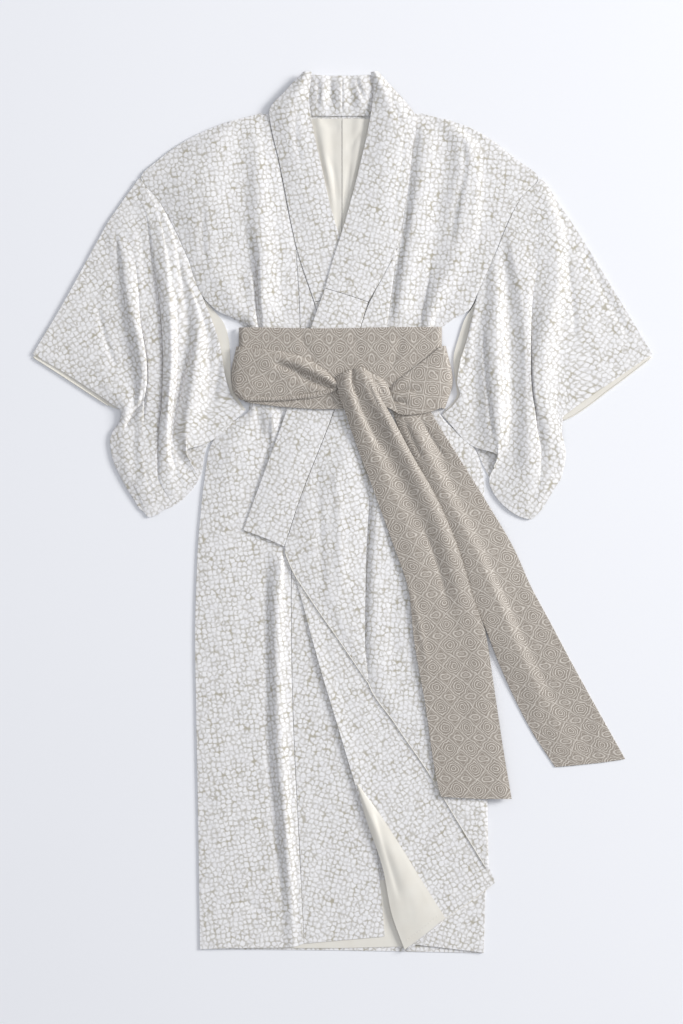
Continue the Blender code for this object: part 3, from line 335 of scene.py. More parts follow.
SLEEVE_FRONT_LEFT = (
    ((236.8, 386, 4), (228.5, 350, 5.4), (218, 304.5, 8), (205.5, 266, 8), (200.5, 227.5, 7),
     (205.5, 208, 6), (197, 192.5, 5), (174, 171.5, 3.4)),
    ((250.5, 415, 4), (244, 364, 5), (232, 294, 5), (230, 233, 5), (230, 180, 5), (227.5, 117, 3.4)),
    ((262.7, 443.5, 6), (268.5, 373, 11), (267, 311.5, 14), (268.5, 233, 16), (270.5, 163, 15), (272, 99, 9)),
    ((275.8, 472, 6), (286, 408, 5), (291, 338, 5), (294, 250, 5), (295, 163, 5), (292, 110, 4),
     (276, 82, 3), (256.5, 58, 2)),
    ((287.6, 498, 6), (301, 443, 10), (314, 373, 11), (319, 285, 12), (321, 198, 12), (325, 128, 11),
     (326, 49, 7), (312, -7, 2)),
    ((341.5, 585, 4), (370, 495, 9), (373, 408, 12), (362, 346.5, 14), (350, 285, 15), (348, 224, 15),
     (354, 180, 13), (362, 128, 9), (363, 75, 6), (345.5, 3.5, 2)),
    ((380.5, 537, 2.6), (398, 451.5, 4.6), (394, 355, 6), (382, 285, 7), (373, 215, 8), (370, 163, 8),
     (374, 119, 7), (375.5, 84, 5), (361.5, 28, 2)),
    ((457.5, 416.5, 2.5), (454, 338, 4), (433, 268, 5), (398, 205, 5), (377, 166, 6), (377.5, 135, 6),
     (383.5, 100, 5), (372, 45.5, 2)),
    ((541.5, 278, 2.5), (468, 227.5, 3), (400, 180, 4.6), (384, 166, 5), (382.5, 145, 4), (389.5, 103, 3.4),
     (380.5, 58, 2)),
)
# Deep narrow folds of the sleeve fronts. Each goes before the fold line of its number, counted from 0:
# x, y, and z of its left rim, its bottom and its right rim.
SLITS_RIGHT = (
    (4, ((-394, 531.6, 2.6, 2.6, 2.6), (-370, 478, 6.4, 6.4, 6.4), (-360, 425, 7, 6, 6.4),
         (-352.6, 334, 11, 4, 6), (-345.6, 294, 14, 2.8, 8), (-341.6, 268, 14.6, 2.8, 9),
         (-340.7, 233, 14, 2.8, 9), (-344, 204, 10.5, 4.4, 9), (-347, 150, 8.4, 8.2, 8.2),
         (-341, 75, 7.4, 7.4, 7.4), (-316, 3, 2, 2, 2))),
    (5, ((-367, 569, 2.8, 2.8, 2.8), (-342, 515, 5.4, 5.4, 6.4), (-331.6, 443, 5, 4.2, 8),
         (-322.9, 390, 5, 3.4, 9.4), (-315.9, 320, 6.4, 2.8, 11), (-314.1, 268, 8, 2.8, 12),
         (-315.9, 198, 8, 2.8, 12), (-322, 128, 7.6, 4, 10), (-322, 66, 6, 5, 7), (-298, 16, 2, 2, 2))),
    (6, ((-325, 545, 3, 3, 3), (-303, 480, 8, 8, 8), (-292, 400, 9, 8.4, 8), (-287.9, 303, 11, 6, 6),
         (-289.6, 233, 12, 5, 5.4), (-296.6, 180, 12, 4.6, 5.4), (-300, 115, 9, 4.6, 5),
         (-288, 72, 5.4, 5, 5), (-270, 42, 2, 2, 2))),
)
SLITS_LEFT = (
    (5, ((327, 569, 4.6, 4.6, 4.6), (342, 495, 7.6, 7.6, 7.8), (340, 430, 8.6, 8.4, 8.8),
         (332, 373, 9, 8, 8.6), (330, 330, 10.4, 6, 8), (330, 290, 11.4, 3.6, 11), (330.4, 250, 12, 2.8, 14),
         (333.4, 206, 12, 2.8, 14), (337, 184, 11, 3, 12), (341, 145, 9.6, 4.6, 6.4), (347, 105, 7.6, 5, 5.6),
         (345, 50, 5, 4.6, 5), (330, -10.5, 2, 2, 2))),
)
SLEEVE_BACK_RIGHT = (
    ((-541, 272.5), (-491, 240.5), (-442, 208.5), (-410, 188), (-382, 175), (-387, 157), (-399, 141),
     (-403, 126), (-400, 101), (-383, 62), (-352.5, 12)),
    ((-484, 371), (-416, 262), (-371, 180), (-354, 75), (-319.5, 5)),
    ((-426, 476), (-354.5, 285), (-302, 145), (-247.5, 68)),
    ((-382.5, 544), (-319.5, 373), (-284.5, 233), (-239, 117)),
    ((-353.5, 583), (-325.5, 546), (-273, 443), (-251, 385), (-232, 362), (-207, 331), (-198.5, 303),
     (-196, 262), (-194.6, 226), (-184, 203), (-169.5, 180)),
)
SLEEVE_BACK_LEFT = (
    ((239, 383), (226.5, 359), (214.5, 341), (204, 310), (194, 268), (198, 227.5), (200.5, 208),
     (193.5, 194), (175, 175)),
    ((286, 493.5), (258, 373), (240.5, 233), (229, 119)),
    ((315, 549.5), (302, 373), (284.5, 198), (257, 63)),
    ((342, 583), (345.5, 408), (337, 198), (317.5, -3.5)),
    ((379, 537), (376, 370), (358, 180), (341, 14)),
    ((436.5, 443), (407, 303), (380.5, 163), (363, 33)),
    ((540, 271.5), (468, 216.5), (401.5, 169), (384, 161), (380.5, 142), (386, 103), (377, 61)),
)
SASH_BACK = (
    ((-172, 297, 0), (-172, 202, 0)),
    ((168, 297, 0), (168, 202, 0)),
)
SASH_BAND = (
    ((-180, 324, 2.4), (-180, 259, 2.4), (-169, 194, 2.4)),
    ((-178.5, 324, 8), (-178.5, 259, 8), (-167, 194, 8)),
    ((-174, 324, 10.6), (-174, 259, 10.6), (-163.5, 192.5, 10.6)),
    ((-151.5, 324, 11), (-151.5, 257, 11), (-144.5, 190, 11)),
    ((-116.5, 323, 12), (-113, 255.5, 12.4), (-109.5, 185.5, 12)),
    ((-32.5, 322, 13.4), (-32.5, 252, 13.8), (-32.5, 181, 13.4)),
    ((85, 324, 13.4), (85, 255.5, 13.8), (85, 185.5, 13.4)),
    ((142.5, 324.5, 11.6), (142.5, 257, 12), (142.5, 189, 11.6)),
    ((166, 324.5, 10.6), (166, 257, 10.6), (165.5, 191, 10.6)),
    ((170.5, 324.5, 8), (170.5, 257, 8), (170, 191, 8)),
    ((172.5, 324.5, 2.4), (172.5, 257, 2.4), (171.5, 191, 2.4)),
)
SASH_WRAP = (
    ((-184.5, 290.5, 0.6), (-193.5, 240, 0.6), (-190, 212, 0.6), (-176, 198.5, 0.6)),
    ((-183, 290.5, 10), (-191.5, 240, 11), (-188, 212, 11), (-174, 198, 10)),
    ((-177.5, 290, 13.6), (-183, 243, 15), (-179.5, 212, 15), (-167, 198, 13.6)),
    ((-151.5, 287, 14), (-155, 257, 18), (-155, 229, 17), (-148, 196.5, 14)),
    ((-120, 283.5, 15), (-120, 264, 21), (-120, 236, 16.4), (-120, 196, 15)),
    ((-69, 271, 16.4), (-69, 255.5, 24), (-69, 233, 17), (-69, 198.5, 16)),
    ((-36, 252, 17), (-36, 240, 25), (-36, 224, 18), (-36, 204, 16.6)),
    ((-10.5, 229, 17.6), (-10, 225, 21), (-10, 220.5, 20), (-9.5, 214.5, 17)),
)
# The wrap's lower edge is folded up on itself as a narrow band.
WRAP_FOLD = (
    (-176, 199.5, 14), (-150, 198.5, 15), (-112, 199, 16), (-69, 203, 17.4), (-36, 209, 18), (-9, 217, 19),
)
SASH_LOOP = (
    ((74.5, 203, 16), (83, 192.5, 17), (97, 172.5, 16)),
    ((86.5, 221.5, 16), (97, 201, 20), (109.5, 171, 16)),
    ((114.5, 245, 15.4), (121.5, 210, 21), (128.5, 172, 15.4)),
    ((149.5, 272, 14.4), (155, 226, 20), (155, 177, 14)),
    ((176, 291.5, 13), (183, 236, 15), (173, 183, 12.6)),
    ((178.5, 291.5, 9), (190, 233, 10), (176.5, 182, 9)),
    ((179.5, 291.5, 0.6), (191.5, 231, 0.6), (177.5, 182, 0.6)),
)
SASH_KNOT = (
    ((-7, 236, 15), (-7, 222, 17), (-2.5, 201, 16)),
    ((11.5, 246, 19), (9.5, 226, 23), (16.5, 198, 19)),
    ((32.5, 251, 20), (32.5, 229, 25), (43, 194, 21)),
    ((51.5, 243, 19), (58.5, 222, 25), (71, 187, 20)),
    ((76, 229, 17), (84, 208, 20), (96, 174, 16.5)),
)
# The upper end passes over the knot and falls from it in one broad fold.
TAIL_UPPER = (
    ((-10.5, 235, 18), (-8, 218, 23), (-4, 200, 21.5), (4.5, 178.5, 17), (13, 152, 13.6), (53.5, 42, 12),
     (86.5, -49, 12), (118, -149, 11.6), (123.5, -210, 11.4), (144.5, -334, 11), (167, -478, 10.4),
     (172.5, -495, 10.4)),
    ((5, 245, 22), (7, 226, 30), (14, 203, 29), (27, 172, 22), (41, 140, 18.5), (86.5, 33, 15.5),
     (125, -68, 14), (148, -156, 13), (156.5, -222, 12.4), (184.5, -345, 11.4), (211, -497.5, 10.4)),
    ((17, 250, 23), (22, 231, 27.6), (30, 205, 24.5), (44, 175, 17.5), (64, 132, 13.4), (110, 36, 12),
     (156, -63, 12), (184.5, -152, 12), (193.5, -222, 12), (218, -348, 11.2), (249.5, -499, 10.4)),
    ((31.5, 254, 23), (38, 234, 31), (49, 207, 29), (66, 177, 24), (95.5, 126, 21), (142.5, 38, 19),
     (183, -60, 17), (207.5, -149, 14.6), (228.5, -222, 13), (244, -348, 11.6), (277.5, -499, 10)),
    ((46, 243.5, 22), (54, 226, 27), (64, 203, 24), (81, 175, 18), (123.5, 96, 15), (163.5, 26, 14.6),
     (198.5, -54, 13.4), (228.5, -149, 12.4), (249.5, -210, 11.6), (261.5, -285, 11), (282.5, -425, 9),
     (295, -499, 8)),
)
TAIL_LOWER = (
    ((88, 181, 8.8), (92, 166, 8.8), (108, 117, 8.6), (152, 23, 9), (193.5, -61, 9.4), (226.5, -147, 9.2),
     (251, -205, 7), (274, -264, 2), (330, -380, 0), (372, -444.5, 0)),
    ((114, 181, 12), (120, 166, 13), (137.5, 124, 17), (184.5, 23, 15), (225, -56, 14), (261.5, -135, 12),
     (296.5, -222, 7), (335, -301, 4), (373.5, -388.5, 1), (410.5, -441, 0)),
    ((131, 181, 11), (137.5, 166, 11), (163.5, 117, 9.6), (212.5, 14, 9.4), (256.5, -75, 8), (289.5, -152, 4),
     (323, -222, 1), (359.5, -296, 0), (419, -388.5, 0), (450.5, -437, 0)),
    ((151, 181, 10), (160, 166, 11), (193.5, 112, 12), (244, 31.5, 8), (300, -63, 3), (330, -129.5, 1),
     (359.5, -184, 0), (405, -269.5, 0), (475, -395.5, 0), (494.5, -430.5, 0)),
)

# The two sleeves: side, fold lines and slits of the front, fold lines of the back, which of those is the
# outer edge, the body's edge with the armhole, and the way out from it along x.
SLEEVES = (
    ("right", SLEEVE_FRONT_RIGHT, SLITS_RIGHT, SLEEVE_BACK_RIGHT, 0, SIDE_RIGHT, -1),
    ("left", SLEEVE_FRONT_LEFT, SLITS_LEFT, SLEEVE_BACK_LEFT, -1, SIDE_LEFT, 1),
)

# The cloth of each CAD node: which size is its thickness, height of its fine ripples, turn of its print in
# degrees, and how many times coarser its grid is, which the layers under others are.
SHELLS = {
    "back_right": ("cloth", 0.0, 0, 4), "back_left": ("cloth", 0.0, 4, 4),
    "front_right": ("cloth", 0.5, 8, 1), "overlap_right": ("cloth", 0.3, -14, 1),
    "front_left": ("cloth", 0.8, -5, 1), "overlap_left": ("cloth", 0.8, 17, 1),
    "overlap_left_lower": ("cloth", 0.5, 31, 1), "front_left_hem": ("cloth", 0.2, -22, 2),
    "collar_cover_right": ("collar", 0.6, 12, 1), "collar_cover_left": ("collar", 0.6, -18, 1),
    "collar_cover_back": ("collar", 0.4, 40, 0.8),
    "collar_right": ("collar", 0.2, 25, 1), "collar_left": ("collar", 0.5, -25, 1),
    "sleeve_front_right": ("cloth", 0.9, 33, 1), "sleeve_back_right": ("cloth", 0.0, 35, 3),
    "sleeve_front_left": ("cloth", 0.9, -33, 1), "sleeve_back_left": ("cloth", 0.0, -35, 3),
    "lining_back_right": ("lining", 0.5, 0, 1), "lining_back_left": ("lining", 0.5, 0, 1),
    "lining_hem": ("lining", 0.2, 0, 2), "overlap_left_facing": ("lining", 0.9, 0, 1),
    "sleeve_lining_right": ("lining", 0.0, 0, 3), "sleeve_lining_left": ("lining", 0.0, 0, 3),
    "sash_back": ("sash", 0.0, 0, 3), "sash_band": ("sash", 0.4, 0, 1),
    "sash_wrap": ("sash", 0.8, -14, 1), "sash_loop": ("sash", 0.8, 38, 1),
    "sash_knot": ("sash", 0.7, 62, 1),
    "sash_tail_upper": ("sash", 0.9, 0, 1), "sash_tail_lower": ("sash", 0.9, 0, 1),
}

# Soft creases laid on a piece: height, below zero for a trough, width of its left and of its right
# slope for a path read downwards, and the path: x, y.
CREASES = {
    "front_right": (
        (-6, 2.4, 2, ((-153.1, 452), (-148.6, 390.2), (-146, 316))),
        (4, 12, 3, ((-162, 430), (-156, 380), (-152.6, 318))),
        (-2.2, 7, 2, ((-126.9, 180.2), (-126.9, 136.5), (-128.6, 89.2), (-133.9, 57.8))),
        (-3, 8, 1.8, ((-133.9, -82.2), (-128.6, -194.2), (-126.9, -402.5), (-112.9, -549.5),
         (-104.1, -696.5))),
        (1.6, 3, 9, ((-123.4, -82.2), (-119.9, -194.2), (-116.4, -402.5), (-102.4, -549.5),
         (-93.6, -696.5))),
        (-1.6, 9, 6, ((-242.4, 539), (-244.1, 477.8), (-237.1, 428.8))),
        (-1.2, 3, 5, ((-179.4, -677.2), (-153.1, -691.2), (-123.4, -710.5))),
        (1.5, 10, 8, ((-81.4, 171.5), (-77.9, 92.8), (-76.1, 22.8))),
    ),
    "front_left": (
        (-4.5, 3, 1.8, ((154.9, 439.2), (146.1, 379.8), (137.4, 327.2))),
        (-2.5, 4, 5, ((119.9, 565.2), (104.1, 469), (90.1, 390.2), (83.1, 327.2))),
        (-2.6, 5, 2.2, ((49.9, 57.8), (42.9, -105), (41.1, -229.2), (46.4, -309.8))),
        (-2, 8, 6, ((205.6, 670.2), (214.4, 609), (200.4, 539), (188.1, 460.2))),
        (1.6, 8, 8, ((237.1, 635.2), (233.6, 547.8), (223.1, 460.2))),
    ),
    "overlap_left": (
        (-1.4, 10, 7, ((-44.6, 101.5), (-39.4, -12.2), (-34.1, -152.2))),
        (1.4, 8, 9, ((-11.4, 101.5), (-6.1, -12.2), (-0.9, -152.2))),
    ),
    "overlap_right": (
        (-1, 5, 5, ((-35.9, -152.2), (-42.9, -327.2), (-42.9, -502.2))),
    ),
    "sleeve_front_right": (
        (-6, 2, 5, ((-346, 214), (-352, 194), (-366, 174), (-383, 146))),
        (-3, 6, 2.2, ((-396.4, 502.2), (-389.4, 439.2), (-380.6, 369.2), (-366.6, 294),
         (-354.4, 246.8))),
        (-4, 3.5, 2, ((-256.4, 320.2), (-273.9, 246.8), (-291.4, 171.5), (-296.6, 127.8),
         (-289.6, 101.5))),
        (-1.8, 7, 6, ((-207.4, 320.2), (-216.1, 250.2), (-228.4, 180.2))),
        (1.6, 4, 8, ((-300.1, 372.8), (-296.6, 285.2), (-301.9, 197.8), (-308.9, 127.8))),
        (-1.6, 5, 6, ((-287.9, 539), (-272.1, 477.8), (-258.1, 416.5))),
        (-1.5, 5, 5, ((-431.4, 372.8), (-413.9, 302.8), (-392.9, 246.8))),
    ),
    "sleeve_front_left": (
        (1.6, 2, 2.5, ((275, 330), (282, 268), (287, 205), (286, 150), (280, 105))),
        (-3.2, 4, 2.2, ((245.9, 329), (251.1, 250.2), (258.1, 180.2), (265.1, 119))),
        (-2.6, 6, 4, ((420.9, 463.8), (450.6, 404.2), (476.9, 355.2), (503.1, 306.2))),
        (-1.6, 5, 5, ((223.1, 372.8), (216.1, 302.8), (207.4, 232.8))),
        (-1.4, 6, 6, ((389.4, 460.2), (401.6, 372.8), (406.9, 294))),
    ),
    "collar_cover_back": (
        (-2.6, 3, 3, ((23.6, 759.5), (28.9, 743.8), (39.4, 719.2))),
        (-2, 5, 4, ((-20.1, 757.8), (-20.1, 736.8), (-16.6, 712.2))),
        (-1.6, 1.3, 1.3, ((-0.2, 766.5), (-0.2, 729.8), (-0.2, 693))),
        (-2, 3, 3, ((-44.6, 757.8), (-41.1, 736.8), (-42.9, 708.8))),
    ),
    "collar_cover_left": (
        (-0.9, 1.6, 1.6, ((107.6, 691.2), (105.9, 635.2), (95.4, 565.2), (84.9, 486.5))),
        (-1.5, 7, 5, ((79.6, 740.2), (93.6, 701.8), (104.1, 670.2))),
    ),
    "collar_cover_right": (
        (-1.2, 6, 5, ((-77.9, 722.8), (-81.4, 670.2), (-70.9, 600.2))),
    ),
    "lining_back_right": (
        (-1.6, 5, 7, ((-42.9, 686), (-21.9, 680.8), (-6.1, 666.8))),
        (-1, 5, 5, ((-28.9, 635.2), (-14.9, 591.5), (-7.9, 539))),
    ),
    "lining_back_left": (
        (-1.8, 3, 6, ((34.1, 668.5), (20.1, 652.8), (6.1, 635.2))),
        (-1, 4, 4, ((13.1, 617.8), (7.9, 574), (4.4, 530.2))),
    ),
    "overlap_left_facing": (
        (-1.6, 4, 8, ((51.6, -502.2), (76.1, -589.8), (104.1, -686))),
        (-0.9, 1.6, 1.6, ((99, -752), (133, -728), (170, -699))),
    ),
    "sash_band": (
        (-1.6, 7, 7, ((-74.4, 318.5), (-67.4, 294), (-39.4, 259))),
        (-1.8, 8, 8, ((104.1, 316.8), (97.1, 285.2), (79.6, 246.8))),
        (-0.9, 8, 8, ((16.6, 320.2), (23.6, 294), (30.6, 264.2))),
    ),
    "sash_wrap": (
        (-7.5, 8, 4, ((-130.4, 264.2), (-91.9, 255.5), (-60.4, 239.8), (-12, 216))),
        (-6, 3, 3, ((-44, 231), (-24, 221), (-8, 214))),
        (-3.6, 2.2, 4, ((-167.1, 199.5), (-112.9, 197.8), (-56.9, 206.5), (-14.9, 217))),
        (1.2, 6, 6, ((-109.4, 232.8), (-74.4, 222.2), (-30.6, 213.5))),
    ),
    "sash_loop": (
        (-4, 2.5, 3, ((72, 203), (90, 209), (118, 214), (140, 216))),
        (-3, 2.5, 3, ((72, 199), (90, 195), (118, 190))),
        (-3, 2.5, 3, ((73, 205), (86, 224), (108, 252))),
        (2.4, 4, 4, ((78, 207), (96, 222), (120, 238))),
        (2, 4, 4, ((78, 201), (98, 203), (128, 204))),
    ),
    "sash_knot": (
        (-2.6, 2, 3, ((50, 236), (62, 222), (74, 203))),
        (-2.4, 3, 2, ((60, 240), (74, 228), (84, 209))),
    ),
    "sash_tail_upper": (
        (-3, 5, 6, ((20.1, 227.5), (25.4, 197.8), (44.6, 154), (69.1, 106.8))),
        (-7, 2.4, 4, ((20, 252), (16.5, 236), (18, 220), (26, 204))),
        (-5, 2, 2, ((45, 252), (49, 243), (52, 236))),
        (2.4, 6, 5, ((41, 236), (58, 205), (76, 171), (95, 126))),
        (-1.8, 4, 4, ((41.1, 236.2), (49.9, 211.8), (65.6, 180.2))),
        (-1.4, 5, 5, ((135.6, -12.2), (165.4, -91), (186.4, -169.8))),
        (1.2, 5, 5, ((107.6, -99.8), (132.1, -187.2), (153.1, -292.2))),
    ),
    "sash_tail_lower": (
        (-2, 4, 4, ((107.6, 162.8), (119.9, 134.8), (142.6, 89.2))),
        (-1.6, 4, 4, ((135.6, 166.2), (153.1, 134.8), (182.9, 89.2))),
    ),
}

# Kinds of shader node by the names used here: Blender's name, its settings, and the outputs that are read.
NODE_KINDS = {
    "cloth places": ("UVMap", {"uv_map": "Cloth"}, 0),
    "object places": ("TexCoord", {}, 3),
    "scaled": ("VectorMath", {"operation": "SCALE"}, 0),
    "added": ("VectorMath", {"operation": "ADD"}, 0),
    "subtracted": ("VectorMath", {"operation": "SUBTRACT"}, 0),
    "x and y": ("SeparateXYZ", {}, slice(2)),
    "noise": ("TexNoise", {"noise_dimensions": "2D"}, 0),
    "noise colour": ("TexNoise", {"noise_dimensions": "2D"}, 1),
    "cloud": ("TexNoise", {}, 0),
    "nearest cell": ("TexVoronoi", {"voronoi_dimensions": "2D", "feature": "F1"}, slice(2)),
    "next cell": ("TexVoronoi", {"voronoi_dimensions": "2D", "feature": "F2"}, 0),
    "waves": ("TexWave", {"bands_direction": "X"}, 1),
    "slanted waves": ("TexWave", {"bands_direction": "DIAGONAL"}, 1),
    "red": ("SeparateColor", {}, 0),
    "soft step": ("MapRange", {"interpolation_type": "SMOOTHSTEP"}, 0),
    "mixed": ("Mix", {"data_type": "RGBA"}, 2),
    "bump": ("Bump", {}, 0),
}


def linear(code):
    """An sRGB hex colour as linear red, green, blue."""
    parts = [int(code[i:i + 2], 16) / 255 for i in (1, 3, 5)]
    return tuple(part / 12.92 if part <= 0.04045 else ((part + 0.055) / 1.055) ** 2.4 for part in parts)


class RobeSizes(bpy.types.PropertyGroup):
    """Sizes of the robe's cloth and patterns."""

    cloth: bpy.props.FloatProperty(
        name="Outer cloth", description="Thickness of the printed silk, with what backs it",
        default=0.0012, min=0.0004, max=0.004, unit="LENGTH", precision=4)
    lining: bpy.props.FloatProperty(
        name="Lining", description="Thickness of the lining silk",
        default=0.0008, min=0.0002, max=0.002, unit="LENGTH", precision=4)
    collar: bpy.props.FloatProperty(
        name="Collar", description="Thickness of the folded collar band",
        default=0.002, min=0.001, max=0.006, unit="LENGTH", precision=4)
    sash: bpy.props.FloatProperty(
        name="Sash", description="Thickness of the sash",
        default=0.0016, min=0.0005, max=0.004, unit="LENGTH", precision=4)
    pebble_pitch: bpy.props.FloatProperty(
        name="Pebble spacing", description="Distance between the middles of two printed pebbles",
        default=0.0083, min=0.003, max=0.04, unit="LENGTH", precision=4)
    medallion_pitch: bpy.props.FloatProperty(
        name="Medallion spacing", description="Distance between two woven medallions of the sash",
        default=0.0368, min=0.01, max=0.2, unit="LENGTH", precision=4)


class RobeColours(bpy.types.PropertyGroup):
    """Colours of the robe's cloth and patterns."""

    pebble: bpy.props.FloatVectorProperty(
        name="Pebble", description="Off-white of the printed pebbles",
        default=linear("#F1F0F1"), min=0, max=1, subtype="COLOR")
    ground: bpy.props.FloatVectorProperty(
        name="Print ground", description="Warm grey between the pebbles",
        default=linear("#B9B5AD"), min=0, max=1, subtype="COLOR")
    fleck: bpy.props.FloatVectorProperty(
        name="Print fleck", description="Olive tint of the wider gaps",
        default=linear("#B1AB9B"), min=0, max=1, subtype="COLOR")
    lining: bpy.props.FloatVectorProperty(
        name="Lining", description="Cream of the lining silk",
        default=linear("#E8E5DD"), min=0, max=1, subtype="COLOR")
    sash_ground: bpy.props.FloatVectorProperty(
        name="Sash ground", description="Greige of the sash's ground weave",
        default=linear("#A0978D"), min=0, max=1, subtype="COLOR")
    sash_figure: bpy.props.FloatVectorProperty(
        name="Sash figure", description="Paler greige of the woven lines",
        default=linear("#EAE4DB"), min=0, max=1, subtype="COLOR")
    thread: bpy.props.FloatVectorProperty(
        name="Thread", description="Off-white of the sewing thread",
        default=linear("#F4F2EC"), min=0, max=1, subtype="COLOR")
    surface: bpy.props.FloatVectorProperty(
        name="Surface", description="Cool white of the surface below",
        default=linear("#F1F2F6"), min=0, max=1, subtype="COLOR")


def slopes_at(knots, values):
    """Slopes that keep a curve through the values free of overshoot: a crest stays where its row puts it."""
    step = np.diff(knots)[:, None]
    rise = np.diff(values, axis=0) / step
    found = np.zeros_like(values)
    found[0] = rise[0]
    found[-1] = rise[-1]
    turning = rise[:-1] * rise[1:] <= 0
    before = np.where(turning, 1.0, rise[:-1])
    after = np.where(turning, 1.0, rise[1:])
    near = 2 * step[1:] + step[:-1]
    far = step[1:] + 2 * step[:-1]
    found[1:-1] = np.where(turning, 0.0, (near + far) / (near / before + far / after))
    return found


def curve_at(knots, values, places):
    """The smooth curve through the values at the knots, read at the places."""
    knots = np.asarray(knots, float)
    values = np.asarray(values, float)
    slopes = slopes_at(knots, values)
    span = np.clip(np.searchsorted(knots, places, side="right") - 1, 0, len(knots) - 2)
    width = (knots[span + 1] - knots[span])[:, None]
    t = (np.asarray(places)[:, None] - knots[span][:, None]) / width
    start = values[span] * (1 + 2 * t) * (1 - t) ** 2 + slopes[span] * width * t * (1 - t) ** 2
    return start + values[span + 1] * t * t * (3 - 2 * t) + slopes[span + 1] * width * t * t * (t - 1)


def lengths_along(points):
    """Length from the first point of a line to each of its points."""
    return np.concatenate([[0], np.cumsum(np.linalg.norm(np.diff(points, axis=0), axis=1))])


def evenly(line, count, axes=None):
    """A line read at even steps of its own length, measured in space or over its first axes."""
    line = np.array(line, float)
    run = lengths_along(line[:, :axes])
    return curve_at(run, line, np.linspace(0, run[-1], count))


def moved(line, across=0.0, height=None):
    """A copy of a shared edge, moved across to leave a seam's gap, with its own height if it has none."""
    return tuple((x + across, y, z[0] if z else height) for x, y, *z in line)


def with_heights(line, heights):
    """An edge of x, y given the heights of a short table of y, z."""
    rows = sorted(heights)
    ys = [y for y, _ in rows]
    zs = [z for _, z in rows]
    return tuple((x, y, float(np.interp(y, ys, zs))) for x, y in line)


def point_at(line, height):
    """The point in which an edge crosses a height on the robe."""
    points = np.array(line, float)
    return tuple(curve_at(-points[:, 1], points, np.array([-height]))[0])


def below(line, top):
    """The stretch of an edge under a height, cut where it crosses it."""
    return (point_at(line, top), *(point for point in line if point[1] < top - NEAR))


def above(line, bottom):
    """The stretch of an edge over a height, cut where it crosses it."""
    return (*(point for point in line if point[1] > bottom + NEAR), point_at(line, bottom))


def drawn(edge):
    """A shared edge with points at the body rows, so that the pieces on both sides of it match."""
    points = np.array(edge, float)
    rows = [y for y in BODY_ROWS if points[-1, 1] + NEAR < y < points[0, 1] - NEAR]
    places = np.array([points[0, 1], *rows, points[-1, 1]])
    return tuple(map(tuple, curve_at(-points[:, 1], points, -places)))


def read_at_rows(lines, step):
    """Each line read at the same heights on the robe, with its own two ends."""
    top = min(line[0][1] for line in lines) - step / 2
    bottom = max(line[-1][1] for line in lines) + step / 2
    inner = np.linspace(top, bottom, round((top - bottom) / step))
    found = []
    for line in lines:
        points = np.array(line, float)
        places = np.array([points[0, 1], *inner, points[-1, 1]])
        found.append(curve_at(-points[:, 1], points, -places))
    return np.array(found)


def read_by_length(lines, step, axes):
    """Each line read at equal shares of its own length, seen from above or, with three axes, in space."""
    longest = max(lengths_along(np.array(line, float)[:, :axes])[-1] for line in lines)
    count = max(4, round(longest / step) + 1)
    return np.array([evenly(line, count, axes) for line in lines])


def with_slits(lines, slits):
    """Fold lines with the deep narrow folds of a table set in, each as three lines side by side."""
    found = list(lines)
    for place, path in reversed(slits):
        made = []
        for column, across in enumerate(SLIT_SIDES):
            line = [(x + across, y, heights[column]) for x, y, *heights in path]
            for end in (0, -1):
                # Both ends lie on the sleeve's edge, which runs from one fold line to the next.
                edge = np.subtract(lines[place][end][:2], lines[place - 1][end][:2])
                x, y = path[end][:2] + edge / np.linalg.norm(edge) * across * SLIT_ENDS
                line[end] = (x, y, path[end][2 + column])
            made.append(tuple(line))
        found[place:place] = made
    return found


def meet_seam(rows, seam, way):
    """Rows of a sleeve whose start, from the shoulder to the underarm, is moved onto the armhole seam."""
    points = np.array(seam, float)
    top = rows[0]
    tip = top[:, 1].argmax()
    on = np.arange(len(top)) <= tip if way > 0 else np.arange(len(top)) >= tip
    on &= top[:, 1] < points[np.abs(points[:, 0]).argmax(), 1]
    ends = top[on][[0, -1], 1]
    fine = curve_at(-points[:, 1], points, -np.linspace(*ends, SEAM_POINTS))[:, :2] + (way * 2 * SEAM_GAP, 0)
    run, shares = lengths_along(fine), lengths_along(top[on])
    place = curve_at(run, fine, shares / shares[-1] * run[-1])
    ease = np.clip(1 - np.arange(len(rows)) / SEAM_EASE, 0, 1) ** 2
    rows[:, on, :2] += (place - top[on, :2]) * ease[:, None, None]
    return rows


def sections_across(read, step):
    """Cross-sections through the lines, at a fine and even spacing between each two of them."""
    widths = np.linalg.norm(np.diff(read, axis=0), axis=2).max(axis=1)
    shares = [0.0]
    for i, width in enumerate(widths):
        steps = max(2, round(width / step))
        shares.extend(i + np.arange(1, steps + 1) / steps)
    rows = []
    for section in np.swapaxes(read, 0, 1):
        run = lengths_along(section)
        rows.append(curve_at(run, section, np.interp(shares, np.arange(len(run)), run)))
    return np.array(rows)


def lift_at(y):
    """How far the body's layers rise over the sash behind the waist, at a height on the robe."""
    return SASH_LIFT * np.interp(y, [row for row, _ in LIFT_ROWS], [share for _, share in LIFT_ROWS])


def fine_rows(node, lines, body=False, axes=2):
    """The fine grid of a node's cloth, from its fold lines: rows of points from its top to its bottom."""
    coarse = SHELLS[node][3]
    if body:
        rows = sections_across(read_at_rows(lines, GRID_ALONG * coarse), GRID_ACROSS * coarse)
        rows[:, :, 2] += lift_at(rows[:, :, 1])
        return rows
    return sections_across(read_by_length(lines, GRID_ALONG * coarse, axes), GRID_ACROSS * coarse)


